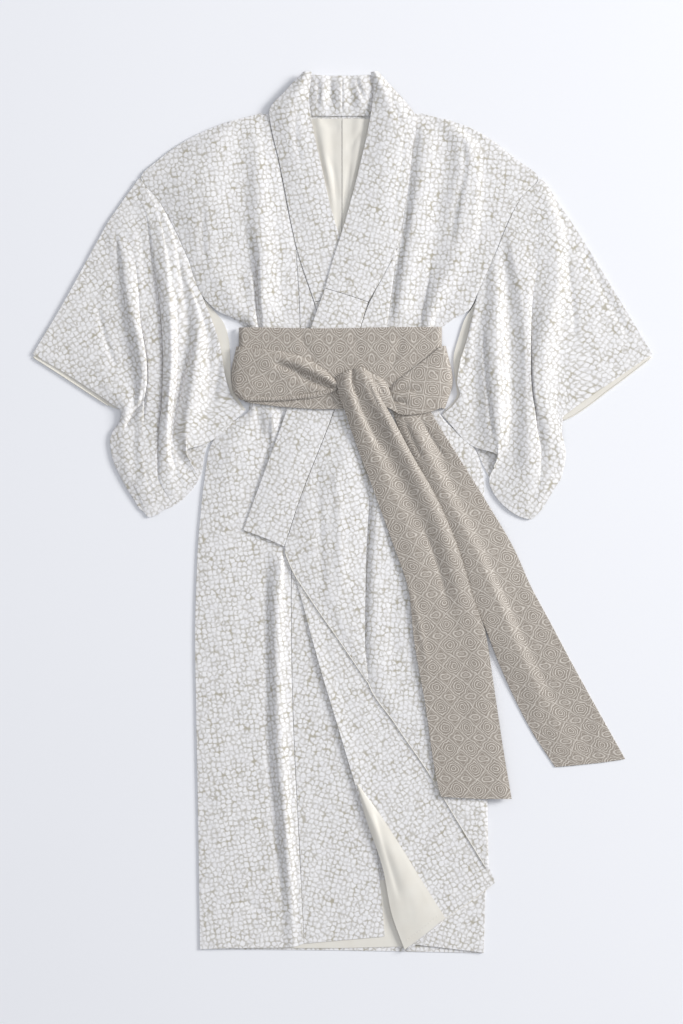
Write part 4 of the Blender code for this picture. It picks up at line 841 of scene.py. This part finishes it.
def crease_heights(points, creases):
    """Height that the creases add at each point: each fades at its ends and has a soft slope on each side."""
    total = np.zeros(points.shape[:-1])
    for height, left, right, path in creases:
        path = evenly(path, CREASE_POINTS)
        step = np.diff(path, axis=0)
        reach = points[..., None, :] - path[:-1]
        share = np.clip((reach * step).sum(-1) / (step ** 2).sum(-1), 0, 1)
        apart = reach - share[..., None] * step
        near = np.linalg.norm(apart, axis=-1)
        index = near.argmin(-1)[..., None]
        turned = step[:, 0] * apart[..., 1] - step[:, 1] * apart[..., 0]
        found = (near, share, turned)
        near, share, turned = (np.take_along_axis(values, index, -1)[..., 0] for values in found)
        along = (index[..., 0] + share) / len(step)
        fade = np.clip(np.minimum(along, 1 - along) / CREASE_FADE, 0, 1)
        fade = fade * fade * (3 - 2 * fade)
        total += height * fade * np.exp(-(near / np.where(turned > 0, right, left)) ** 2)
    return total


def ripples(points, seed):
    """A faint unevenness between 0 and 1, as silk keeps where it isn't pressed flat."""
    chance = np.random.default_rng(seed)
    total = np.zeros(points.shape[:-1])
    # Three waves of each length run roughly along x, and sway as they go down the robe.
    for length in RIPPLE_LENGTHS:
        for _ in range(3):
            turn = chance.uniform(-0.55, 0.55)
            phase = chance.uniform(0, 2 * math.pi)
            wave = points[..., 0] * math.cos(turn) / length + points[..., 1] * math.sin(turn) / length
            slow = points[..., 1] / (length * chance.uniform(3, 5)) + chance.uniform(0, 6)
            share = length / RIPPLE_LENGTHS[0]
            total += share * np.sin(2 * math.pi * wave + phase + 1.4 * np.sin(slow))
    return np.clip(0.5 + total / 8, 0, 1)


def on_plane(rows, turn):
    """Pattern places of a panel in mm: seen from above, plus the cloth that the slopes across it take up."""
    step = np.diff(rows, axis=1)
    flat = np.linalg.norm(step[..., :2], axis=-1, keepdims=True)
    extra = np.linalg.norm(step, axis=-1, keepdims=True) - flat
    shift = np.cumsum(extra * step[..., :2] / np.maximum(flat, 1e-6), axis=1)
    place = rows[..., :2] + np.concatenate([np.zeros_like(shift[:, :1]), shift], 1)
    x, y = place[..., 0], place[..., 1]
    cos, sin = math.cos(math.radians(turn)), math.sin(math.radians(turn))
    return np.stack([x * cos + y * sin, y * cos - x * sin], -1)


def on_run(rows, lengthwise):
    """Pattern places of a band in mm, along its middle and across it. It runs down the rows or over them."""
    widths = np.cumsum(np.linalg.norm(np.diff(rows, axis=1), axis=-1), axis=1)
    across = np.concatenate([np.zeros((len(rows), 1)), widths], 1)
    middle = rows.shape[1] // 2
    across -= across[:, middle:middle + 1]
    along = np.repeat(lengths_along(rows[:, middle])[:, None], rows.shape[1], 1)
    return np.stack([along, across] if lengthwise else [across, along], -1)


def add_node(tree, kind, *inputs, **named):
    """One shader node, its open sockets fed in order or by name. A kind that isn't in the table is a sum."""
    name, settings, output = NODE_KINDS.get(kind, ("Math", {"operation": kind}, 0))
    made = tree.nodes.new("ShaderNode" + name)
    for setting, value in settings.items():
        setattr(made, setting, value)
    sockets = [socket for socket in made.inputs if socket.enabled]
    places = {socket.name: i for i, socket in enumerate(sockets)}
    for place, value in (*enumerate(inputs), *((places[key], value) for key, value in named.items())):
        if isinstance(value, bpy.types.NodeSocket):
            tree.links.new(value, sockets[place])
        else:
            sockets[place].default_value = (*value, 1.0) if sockets[place].type == "RGBA" else value
    return made.outputs[output]


def new_material(name, shader_values):
    """A new material with these values on its shader, and the function that adds nodes to it."""
    made = bpy.data.materials.new(name)
    made.use_nodes = True
    for key, value in shader_values.items():
        made.node_tree.nodes["Principled BSDF"].inputs[key].default_value = value

    def node(kind, *inputs, **named):
        return add_node(made.node_tree, kind, *inputs, **named)

    return made, node


def new_cloth(name, roughness, sheen):
    """A new cloth material, the function that adds nodes to it, and its pattern places in mm."""
    made, node = new_material(name, {
        "Roughness": roughness, "IOR": 1.54, "Specular IOR Level": 0.35, "Sheen Weight": sheen,
        "Sheen Roughness": 0.45,
    })
    return made, node, node("scaled", node("cloth places"), 1 / MM)


def warped(node, place, scale):
    """Pattern places in mm pulled about slowly, by up to 2 mm."""
    pull = node("subtracted", node("noise colour", place, scale, 1.0), (0.5, 0.5, 0.5))
    return node("added", place, node("scaled", pull, WARP))


def finished(made, node, colour, relief, depth):
    """The material with its colour and its relief on the shader. The relief's depth is in metres."""
    tree = made.node_tree
    shader = tree.nodes["Principled BSDF"]
    tree.links.new(colour, shader.inputs["Base Color"])
    tree.links.new(node("bump", Height=relief, Distance=depth, Strength=1.0), shader.inputs["Normal"])
    return made


def pebble_print(sizes, colours):
    """Silk crepe, printed: rounded off-white pebbles on warm grey, matt, with the crepe's fine grain."""
    made, node, place = new_cloth("Silk crepe printed with pebbles", 0.72, 0.1)
    # The pebbles are no exact circles: the warp pulls them uneven.
    bent = warped(node, place, 0.16)
    cells = {"Vector": bent, "Scale": MM / sizes.pebble_pitch, "Randomness": 0.66}
    middle, chance = node("nearest cell", **cells)
    # Between two pebbles the ground is a soft line that fades here and there, and it opens where three meet.
    apart = node("SUBTRACT", node("next cell", **cells), middle)
    fading = node("soft step", node("noise", place, 0.12, 1.0), 0.35, 0.62)
    line = node("MULTIPLY", node("soft step", apart, 0.56, 0.04), node("MULTIPLY_ADD", fading, 0.46, 0.44))
    gap = node("MAXIMUM", node("soft step", middle, 0.37, 0.78), line)
    # The olive gathers where the gaps are wide, and the print is fainter in some places than in others.
    patches = node("noise", place, 0.035, 2.0)
    olive = node("MULTIPLY", node("soft step", middle, 0.48, 0.7), node("soft step", patches, 0.25, 0.75))
    ground = node("mixed", olive, colours.ground, colours.fleck)
    faint = node("MULTIPLY", node("soft step", patches, 0.62, 0.3), 0.3)
    share = node("MULTIPLY", gap, node("SUBTRACT", 1.0, faint))
    # No two pebbles are quite the same white.
    tone = node("MULTIPLY", node("red", chance), 0.5)
    pale = node("mixed", tone, colours.pebble, linear("#E4E3E6"))
    # Crepe grain, drawn at 1.4 mm, coarser than the real 0.4 mm, so that it shows.
    grain = node("noise", place, 0.7, 3.0)
    relief = node("MULTIPLY_ADD", gap, -0.5, grain)
    return finished(made, node, node("mixed", share, pale, ground), relief, 0.00016)


def lining_silk(sizes, colours):
    """Lining silk, plain woven: smooth, cream, with a soft sheen and the faintest thread lines."""
    made, node, place = new_cloth("Lining silk plain woven", 0.5, 0.2)
    cloud = node("noise", place, 0.03, 2.0)
    tint = node("mixed", cloud, colours.lining, linear("#E0DBD1"))
    # Threads 2 mm apart, coarser than the real 0.15 mm, so that they show close up.
    threads = node("waves", place, 0.16, 0.6)
    return finished(made, node, tint, threads, 0.00003)


def sash_jacquard(sizes, colours):
    """Silk jacquard: paler lines woven into a greige ground as a lattice of ringed lozenges and ovals."""
    made, node, place = new_cloth("Silk jacquard with ringed lozenges", 0.55, 0.15)

    def off(value, middle):
        return node("ABSOLUTE", node("SUBTRACT", value, middle))

    def distance(across, along):
        return node("SQRT", node("ADD", *(node("MULTIPLY", part, part) for part in (across, along))))

    # The weave pulls the lattice about. In it, x and y run from 0 at a lozenge's middle to 0.5 half way to
    # the next one's.
    pitch = sizes.medallion_pitch / MM
    lattice = node("x and y", node("scaled", warped(node, place, 0.08), 1 / pitch))
    x, y = (off(node("FRACT", node("ADD", axis, 0.5)), 0.5) for axis in lattice)
    diamond = node("ADD", x, y)
    circle = distance(x, y)
    # The rings are round at the middle and turn to lozenges outwards.
    turn = node("soft step", circle, 0.15, 0.5)
    norm = node("ADD", node("MULTIPLY", circle, node("SUBTRACT", 1.0, turn)),
                node("MULTIPLY", node("MULTIPLY", diamond, 0.84), turn))
    wave = node("COSINE", node("MULTIPLY", norm, 2 * math.pi * pitch / RINGS_APART))
    rings = node("MULTIPLY", node("soft step", wave, 0.3, 0.9), node("soft step", norm, 0.47, 0.44))
    # Ovals stand between the lozenges, with their long axis over the width of the sash.
    wide = node("DIVIDE", node("SUBTRACT", 0.5, x), 0.13)
    tall = node("DIVIDE", node("SUBTRACT", 0.5, y), 0.24)
    oval = distance(wide, tall)
    rim = node("soft step", off(oval, 1.0), 0.26, 0.08)
    core = node("soft step", off(oval, 0.3), 0.26, 0.1)
    # Double lines cross the ground between the lozenges, and stop at the ovals.
    double = node("soft step", off(off(diamond, 0.62), 0.055), 0.035, 0.012)
    cross = node("MULTIPLY", double, node("soft step", oval, 1.2, 1.4))
    lines = 0.0
    for figure, strength in ((rings, 0.8), (cross, 0.42), (rim, 0.64), (core, 0.34)):
        lines = node("MAXIMUM", lines, node("MULTIPLY", figure, strength))
    # The lines are broken by the weave: short floats catch more or less light.
    floats = node("noise", place, 0.4, 2.0)
    lines = node("MULTIPLY", lines, node("MULTIPLY_ADD", node("soft step", floats, 0.3, 0.6), 0.55, 0.45))
    ground = node("mixed", floats, colours.sash_ground, linear("#8C837A"))
    relief = node("MULTIPLY_ADD", lines, 0.8, floats)
    return finished(made, node, node("mixed", lines, ground, colours.sash_figure), relief, 0.00015)


def sewing_thread(sizes, colours):
    """Silk thread, twisted: off-white with a slight gloss."""
    made, node, place = new_cloth("Silk sewing thread", 0.45, 0.1)
    twist = node("slanted waves", place, 0.6, 0.0)
    tint = node("mixed", twist, colours.thread, linear("#DAD6CC"))
    return finished(made, node, tint, twist, 0.00005)


def white_surface(sizes, colours):
    """Painted board: cool white, matt, with the slightest cloudiness of a rolled coat."""
    made, node = new_material("Matt white painted board", {"Roughness": 0.85, "Specular IOR Level": 0.2})
    cloud = node("MULTIPLY", node("cloud", node("object places"), 1.2, 1.0), 0.3)
    tint = node("mixed", cloud, colours.surface, linear("#E9EAEF"))
    made.node_tree.links.new(tint, made.node_tree.nodes["Principled BSDF"].inputs["Base Color"])
    return made


FINISHES = {
    "print": pebble_print,
    "lining": lining_silk,
    "sash": sash_jacquard,
    "thread": sewing_thread,
    "surface": white_surface,
}


def finish_of(name):
    """The material of a finish, made the first time that a piece asks for it."""
    key = f"robe_{name}"
    for material in bpy.data.materials:
        if material.get("robe_finish") == key:
            return material
    scene = bpy.context.scene
    made = FINISHES[name](scene.robe_sizes, scene.robe_colours)
    made["robe_finish"] = key
    return made


def put_mesh(name, points, faces, places, finish):
    """A mesh object from points and pattern places in mm, riding on the robe."""
    mesh = bpy.data.meshes.new(name)
    mesh.from_pydata((np.asarray(points) * MM).tolist(), [], faces)
    mesh.polygons.foreach_set("use_smooth", [True] * len(mesh.polygons))
    layer = mesh.uv_layers.new(name="Cloth")
    corners = np.empty(len(mesh.loops), int)
    mesh.loops.foreach_get("vertex_index", corners)
    layer.uv.foreach_set("vector", (places[corners] * MM).ravel())
    mesh.materials.append(finish_of(finish))
    piece = bpy.data.objects.new(name, mesh)
    bpy.context.scene.collection.objects.link(piece)
    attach(piece, "root")
    return piece


def area_of(rows):
    """Area in square metres of a sheet of sections."""
    first = np.cross(rows[1:, :-1] - rows[:-1, :-1], rows[:-1, 1:] - rows[:-1, :-1])
    second = np.cross(rows[1:, 1:] - rows[1:, :-1], rows[1:, 1:] - rows[:-1, 1:])
    return (np.linalg.norm(first, axis=-1) + np.linalg.norm(second, axis=-1)).sum() / 2 * MM * MM


def sheet_faces(rows, inward, level):
    """Faces of a sheet of sections. A level one faces up all over, and an inward one is turned round."""
    count, across = rows.shape[:2]
    index = np.arange(count * across).reshape(count, across)
    corners = [index[1:, :-1], index[1:, 1:], index[:-1, 1:], index[:-1, :-1]]
    if inward:
        corners.reverse()
    faces = np.stack(corners, -1).reshape(-1, 4)
    if level and not inward:
        # Where the sections cross each other at a sharp corner, the faces there are turned back upwards.
        flat = rows.reshape(-1, 3)[faces][..., :2]
        first, second = flat[:, 2] - flat[:, 0], flat[:, 3] - flat[:, 1]
        down = first[:, 0] * second[:, 1] - first[:, 1] * second[:, 0] < 0
        faces[down] = faces[down][:, ::-1]
    return faces.tolist()


def make_thick(piece, thickness, inward):
    """Cloth of a thickness on a sheet, over it or under it, with its edges turned."""
    wall = piece.modifiers.new("Cloth", "SOLIDIFY")
    wall.thickness = thickness
    wall.offset = -1.0 if inward else 1.0
    edge = piece.modifiers.new("Turned edge", "BEVEL")
    edge.width = EDGE_ROUND * wall.thickness
    edge.segments = 2
    edge.limit_method = "ANGLE"
    edge.angle_limit = math.radians(EDGE_ANGLE)
    normals = piece.modifiers.new("Even shading", "WEIGHTED_NORMAL")
    normals.keep_sharp = True


def add_shell(node, rows, way="plane", held="laid", rests_on=(), inward=False):
    """The fine cloth that stands for a CAD node: its sheet of sections, creased, rippled and made thick."""
    thick, ripple, turn, _ = SHELLS[node]
    seed = sorted(SHELLS).index(node)
    rows = rows.copy()
    if node in CREASES:
        creased = rows[..., 2] + crease_heights(rows[..., :2], CREASES[node])
        rows[..., 2] = np.maximum(creased, rows[..., 2].min())
    if ripple:
        # The ripples end at the seams, where two cloths lie edge to edge.
        reach = np.arange(rows.shape[1]) * GRID_ACROSS / RIPPLE_REACH
        rows[..., 2] += ripple * ripples(rows[..., :2], seed) * np.clip(np.minimum(reach, reach[::-1]), 0, 1)
    places = (on_plane(rows, turn) if way == "plane" else on_run(rows, way == "down")).reshape(-1, 2)
    finish = {"lining": "lining", "sash": "sash"}.get(thick, "print")
    if finish == "print":
        places = places + np.array(PRINT_SHIFT) * seed
    faces = sheet_faces(rows, inward, way == "plane")
    piece = put_mesh("shell_" + node, rows.reshape(-1, 3), faces, places, finish)
    make_thick(piece, getattr(bpy.context.scene.robe_sizes, thick), inward)
    # Every eighth row and every fourth line are enough to find the longest ones.
    width = max(lengths_along(row)[-1] for row in rows[::8]) * MM
    length = max(lengths_along(rows[:, i])[-1] for i in range(0, rows.shape[1], 4)) * MM
    area = area_of(rows)
    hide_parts(node)
    ["shell_" + other for other in rests_on]
    return rows


def add_panel(node, lines, body=False, axes=2, **laid):
    """The fine cloth that stands for a CAD node, from its fold lines."""
    return add_shell(node, fine_rows(node, lines, body, axes), **laid)


def tube_faces(rings):
    """Faces of a closed tube, from the numbers of its rings' points."""
    after = np.roll(rings, -1, axis=1)
    faces = np.stack([rings[:-1], rings[1:], after[1:], after[:-1]], -1).reshape(-1, 4).tolist()
    return faces + [rings[0].tolist(), rings[-1][::-1].tolist()]


def add_tube(name, path, edging, finish, sides=8):
    """A soft closed tube along a path in mm: a row of the rolled and piped edges."""
    wide, high, shift = edging
    path = np.array(path, float) + shift
    way = np.gradient(path, axis=0)
    way /= np.linalg.norm(way, axis=1, keepdims=True)
    across = np.cross(way, (0, 0, 1))
    across /= np.linalg.norm(across, axis=1, keepdims=True)
    up = np.cross(across, way)
    turn = np.linspace(0, 2 * math.pi, sides, endpoint=False)
    ring = np.cos(turn)[None, :, None] * across[:, None] * wide / 2
    ring += np.sin(turn)[None, :, None] * up[:, None] * high / 2
    # The last two rings at each end are smaller, which rounds the end.
    number = np.arange(len(path))
    ends = np.clip(np.minimum(number, number[::-1]) / 2 + TUBE_END, 0, 1)
    points = (path[:, None] + ring * ends[:, None, None]).reshape(-1, 3)
    places = np.stack(np.broadcast_arrays(lengths_along(path)[:, None], np.cos(turn)[None] * wide / 2), -1)
    faces = tube_faces(np.arange(len(path) * sides).reshape(len(path), sides))
    return put_mesh(name, points, faces, places.reshape(-1, 2), finish)


def add_stitches(name, path):
    """Running stitches along a path in mm, each a short thread that dips into the cloth at both ends."""
    path = np.array(path, float)
    run = lengths_along(path)
    points = []
    faces = []
    turn = np.linspace(0, 2 * math.pi, STITCH_SIDES, endpoint=False)
    for start in np.arange(STITCH_APART / 2, run[-1] - STITCH_LENGTH, STITCH_APART):
        shares = np.array([along for along, _, _ in STITCH_RINGS])
        middle = curve_at(run, path, start + STITCH_LENGTH * shares)
        way = (middle[-1] - middle[0]) / np.linalg.norm(middle[-1] - middle[0])
        across = np.cross(way, (0, 0, 1))
        up = np.cross(across, way)
        rings = len(points) + np.arange(len(STITCH_RINGS) * STITCH_SIDES).reshape(-1, STITCH_SIDES)
        for centre, (_, share, height) in zip(middle, STITCH_RINGS):
            for angle in turn:
                lift = STITCH_RADIUS * share * math.sin(angle) + height
                points.append(centre + STITCH_RADIUS * share * math.cos(angle) * across + lift * up)
        faces += tube_faces(rings)
    points = np.array(points)
    return put_mesh(name, points, faces, points[:, :2], "thread")


def line_on(rows, share, first, last):
    """A line down a sheet at a share of its width, from one share of its length to another, in mm."""
    column = share * (rows.shape[1] - 1)
    near = int(column)
    part = column - near
    line = rows[:, near] * (1 - part) + rows[:, min(near + 1, rows.shape[1] - 1)] * part
    return line[round(first * (len(line) - 1)):round(last * (len(line) - 1)) + 1]


class ROBE_OT_back(bpy.types.Operator):
    """Add the two lengths of the back, with the lining that shows in the neck and at the hem"""

    bl_idname = "robe.back"
    bl_label = "Back and its lining"
    bl_options = {"REGISTER", "UNDO"}

    def execute(self, context):
        right = moved(SIDE_RIGHT, BACK_INSET, 0.0), moved(CENTRE_BACK, -SEAM_GAP / 2, 0.0)
        add_panel("back_right", right, body=True)
        left = moved(CENTRE_BACK, SEAM_GAP / 2, 0.0), moved(SIDE_LEFT, -BACK_INSET, 0.0)
        add_panel("back_left", left, body=True)
        add_panel("lining_back_right", BACK_LINING_RIGHT, rests_on=("back_right",))
        add_panel("lining_back_left", BACK_LINING_LEFT, rests_on=("back_left",))
        add_panel("lining_hem", LINING_HEM, rests_on=("back_right", "back_left"))
        return {"FINISHED"}


class ROBE_OT_fronts(bpy.types.Operator):
    """Add the fronts with their overlap panels, the left over the right, and the pleat over its strip"""

    bl_idname = "robe.fronts"
    bl_label = "Fronts and overlaps"
    bl_options = {"REGISTER", "UNDO"}

    def execute(self, context):
        self.add_right()
        front, overlap = self.add_left()
        strip = add_panel("overlap_left_lower", STRIP, rests_on=("overlap_right",))
        facing = add_panel("overlap_left_facing", LINING_FLAP, held="folded",
                           rests_on=("overlap_left_lower",))
        add_panel("front_left_hem", SIDE_HEM_LEFT, rests_on=("back_left",))

        # The pleat's edge is rolled, and the cream of its rim along both panels is a painted highlight where
        # the edge catches the light.
        upper = [point for point in overlap[:, 0] if point[1] < PLEAT_EDGE[0][1] - NEAR]
        lower = [point for point in front[:, 0] if point[1] < OVERLAP_SEAM_LEFT[-1][1] - NEAR]
        add_tube("rolled_edge_pleat", upper + lower, PLEAT_HIGHLIGHT_RIM, "lining")

        # The hems of the strip and of its turned-back lining are piped, and the lining's hem is sewn along.
        add_tube("piping_strip_hem", strip[-1, ::4], STRIP_PIPING, "lining")
        add_tube("piping_facing_hem", facing[-1, ::3], FACING_PIPING, "print")
        sewn = facing[round(FACING_SEWN * (len(facing) - 1)), 2:-2]
        add_stitches("stitches_facing_hem", sewn + (0, 0, context.scene.robe_sizes.lining / MM))
        return {"FINISHED"}

    def add_right(self):
        """The right front, and the right overlap panel sewn to it."""
        overlap_seam = drawn(OVERLAP_SEAM_RIGHT)
        right_edge = above(drawn(COLLAR_SEAM_RIGHT), OVERLAP_SEAM_RIGHT[0][1]) + overlap_seam[1:]
        side = moved(with_heights(SIDE_RIGHT, SIDE_RIGHT_Z), SEAM_GAP)
        seam = moved(with_heights(right_edge, RIGHT_EDGE_Z), -SEAM_GAP)
        add_panel("front_right", (side, *FRONT_RIGHT_FOLDS, seam), body=True, rests_on=("back_right",))
        inner = moved(below(overlap_seam, OVERLAP_TOP), 2 * SEAM_GAP, BODY_Z)
        outer = moved(below(drawn(COLLAR_SEAM_RIGHT + FRONT_EDGE_RIGHT), OVERLAP_TOP), -SEAM_GAP, BODY_Z)
        add_panel("overlap_right", (inner, outer), body=True, rests_on=("back_right", "back_left"))

    def add_left(self):
        """The left front, and the left overlap panel down to the pleat."""
        overlap_seam = drawn(OVERLAP_SEAM_LEFT)
        collar_seam = drawn(COLLAR_SEAM_LEFT)
        pleat_edge = drawn(PLEAT_EDGE)
        seam_end = overlap_seam[-1][1]
        left_edge = above(collar_seam, OVERLAP_SEAM_LEFT[0][1]) + overlap_seam[1:]
        left_edge += below(pleat_edge, seam_end)[1:]
        seam = moved(with_heights(left_edge, LEFT_EDGE_Z), SEAM_GAP)
        side = with_heights(above(SIDE_LEFT, PLEAT_EDGE[-1][1]), SIDE_LEFT_Z)
        front = add_panel("front_left", (seam, *FRONT_LEFT_FOLDS, side), body=True, rests_on=("back_left",))
        collar_side = below(collar_seam, OVERLAP_TOP) + above(pleat_edge, seam_end)[1:]
        inner = moved(with_heights(collar_side, COLLAR_SIDE_Z), SEAM_GAP)
        outer = moved(with_heights(below(overlap_seam, OVERLAP_TOP), LEFT_EDGE_Z), -SEAM_GAP / 2)
        overlap = add_panel("overlap_left", (inner, *OVERLAP_LEFT_FOLDS, outer), body=True,
                            rests_on=("overlap_right", "front_right"))
        return front, overlap


class ROBE_OT_collar(bpy.types.Operator):
    """Add the collar band with its cover over the neck"""

    bl_idname = "robe.collar"
    bl_label = "Collar"
    bl_options = {"REGISTER", "UNDO"}

    def execute(self, context):
        add_panel("collar_cover_right", COLLAR_COVER_RIGHT, rests_on=("front_right",))
        cover = add_panel("collar_cover_left", COLLAR_COVER_LEFT, rests_on=("front_left",))
        add_panel("collar_right", COLLAR_RIGHT, rests_on=("overlap_right",))
        add_panel("collar_left", COLLAR_LEFT, rests_on=("overlap_right", "front_right"))
        add_panel("collar_cover_back", COLLAR_BACK, axes=3, held="folded", inward=True)
        thick = context.scene.robe_sizes.collar / MM
        add_stitches("stitches_collar", line_on(cover, *COLLAR_SEWN) + (0, 0, thick))
        return {"FINISHED"}


class ROBE_OT_sleeves(bpy.types.Operator):
    """Add both sleeves: fronts in their falling folds, backs, and the lining at the openings"""

    bl_idname = "robe.sleeves"
    bl_label = "Sleeves"
    bl_options = {"REGISTER", "UNDO"}

    def execute(self, context):
        thick = context.scene.robe_sizes.cloth / MM
        for side, front, slits, back, outer, seam, way in SLEEVES:
            back_node, lining_node = f"sleeve_back_{side}", f"sleeve_lining_{side}"
            add_panel(back_node, tuple(moved(line, 0.0, 0.0) for line in back))
            # The lining stops short of the bottom edge, and reaches the edges of both openings.
            short = [line if line in (back[0], back[-1])
                     else (*line[:-1], tuple((a + b) / 2 for a, b in zip(*line[-2:]))) for line in back]
            lining = tuple(moved(line, 0.0, thick + LINING_CLEAR) for line in short)
            add_panel(lining_node, lining, rests_on=(back_node,))
            cuff = moved(back[outer][:CUFF_POINTS], 0.0, thick)
            add_tube(f"piping_cuff_{side}", evenly(cuff, EDGE_POINTS), CUFF_PIPING, "lining")
            rows = meet_seam(fine_rows(f"sleeve_front_{side}", with_slits(front, slits)), seam, way)
            add_shell(f"sleeve_front_{side}", rows, rests_on=(lining_node,))
        return {"FINISHED"}


class ROBE_OT_sash(bpy.types.Operator):
    """Add the sash: round the waist, gathered to the knot, and its two loose ends"""

    bl_idname = "robe.sash"
    bl_label = "Sash"
    bl_options = {"REGISTER", "UNDO"}

    def execute(self, context):
        add_panel("sash_back", SASH_BACK, way="across")
        add_panel("sash_band", SASH_BAND, way="across", rests_on=("front_right", "front_left"))
        add_panel("sash_wrap", SASH_WRAP, held="gathered", rests_on=("sash_band",))
        add_tube("folded_edge_wrap", evenly(WRAP_FOLD, EDGE_POINTS), WRAP_EDGE, "sash", sides=12)
        add_panel("sash_loop", SASH_LOOP, held="gathered", rests_on=("sash_band",))
        add_panel("sash_knot", SASH_KNOT, held="gathered", rests_on=("sash_wrap", "sash_loop"))
        add_panel("sash_tail_upper", TAIL_UPPER, way="down", rests_on=("front_left",))
        add_panel("sash_tail_lower", TAIL_LOWER, way="down", rests_on=("front_left",))
        return {"FINISHED"}


class ROBE_OT_stage(bpy.types.Operator):
    """Add the pale surface, the soft studio light and the camera straight above the robe"""

    bl_idname = "robe.stage"
    bl_label = "Surface, light and camera"
    bl_options = {"REGISTER", "UNDO"}

    def execute(self, context):
        scene = context.scene
        side = FLOOR_SIDE / 2
        corners = [(-side, -side, 0), (side, -side, 0), (side, side, 0), (-side, side, 0)]
        mesh = bpy.data.meshes.new("floor")
        mesh.from_pydata(corners, [], [(0, 1, 2, 3)])
        mesh.materials.append(finish_of("surface"))
        floor = bpy.data.objects.new("floor", mesh)
        floor.location.z = -FLOOR_DROP
        scene.collection.objects.link(floor)

        for name, place, size, power, colour in LIGHTS:
            lamp = bpy.data.lights.new(name, "AREA")
            lamp.shape = "SQUARE"
            lamp.size = size
            lamp.energy = power
            lamp.color = colour
            light = bpy.data.objects.new(name, lamp)
            light.location = place
            light.rotation_mode = "QUATERNION"
            light.rotation_quaternion = (-light.location).to_track_quat("-Z", "Y")
            scene.collection.objects.link(light)
        world = bpy.data.worlds.new("Studio")
        world.use_nodes = True
        back = world.node_tree.nodes["Background"]
        back.inputs["Color"].default_value = AROUND_COLOUR
        back.inputs["Strength"].default_value = AROUND_STRENGTH
        scene.world = world
        scene.view_settings.view_transform = "Standard"

        # The camera hangs high above, so that the robe is seen flat, framed as it lies.
        view = bpy.data.cameras.new("camera")
        view.sensor_width = 36.0
        view.lens = view.sensor_width * CAMERA_HEIGHT / VIEW_HEIGHT
        camera = bpy.data.objects.new("camera", view)
        camera.location = (*CAMERA_PLACE, CAMERA_HEIGHT)
        scene.collection.objects.link(camera)
        scene.camera = camera
        return {"FINISHED"}


class ROBE_PT_pieces(bpy.types.Panel):
    """The robe's sizes, colours and pieces in the sidebar"""

    bl_label = "Kimono robe"
    bl_idname = "ROBE_PT_pieces"
    bl_space_type = "VIEW_3D"
    bl_region_type = "UI"
    bl_category = "Robe"

    def draw(self, context):
        layout = self.layout
        for group in (context.scene.robe_sizes, context.scene.robe_colours):
            box = layout.box()
            for name in group.__annotations__:
                box.prop(group, name)
        for operator in OPERATORS:
            layout.operator(operator.bl_idname)


OPERATORS = (
    ROBE_OT_back, ROBE_OT_fronts, ROBE_OT_collar, ROBE_OT_sleeves, ROBE_OT_sash, ROBE_OT_stage,
)
CLASSES = (RobeSizes, RobeColours, *OPERATORS, ROBE_PT_pieces)


def register():
    for made in CLASSES:
        bpy.utils.register_class(made)
    bpy.types.Scene.robe_sizes = bpy.props.PointerProperty(type=RobeSizes)
    bpy.types.Scene.robe_colours = bpy.props.PointerProperty(type=RobeColours)


def unregister():
    del bpy.types.Scene.robe_colours
    del bpy.types.Scene.robe_sizes
    for made in reversed(CLASSES):
        bpy.utils.unregister_class(made)


def main():
    register()
    for operator in OPERATORS:
        group, name = operator.bl_idname.split(".")
        getattr(getattr(bpy.ops, group), name)()


if __name__ == "__main__":
    main()
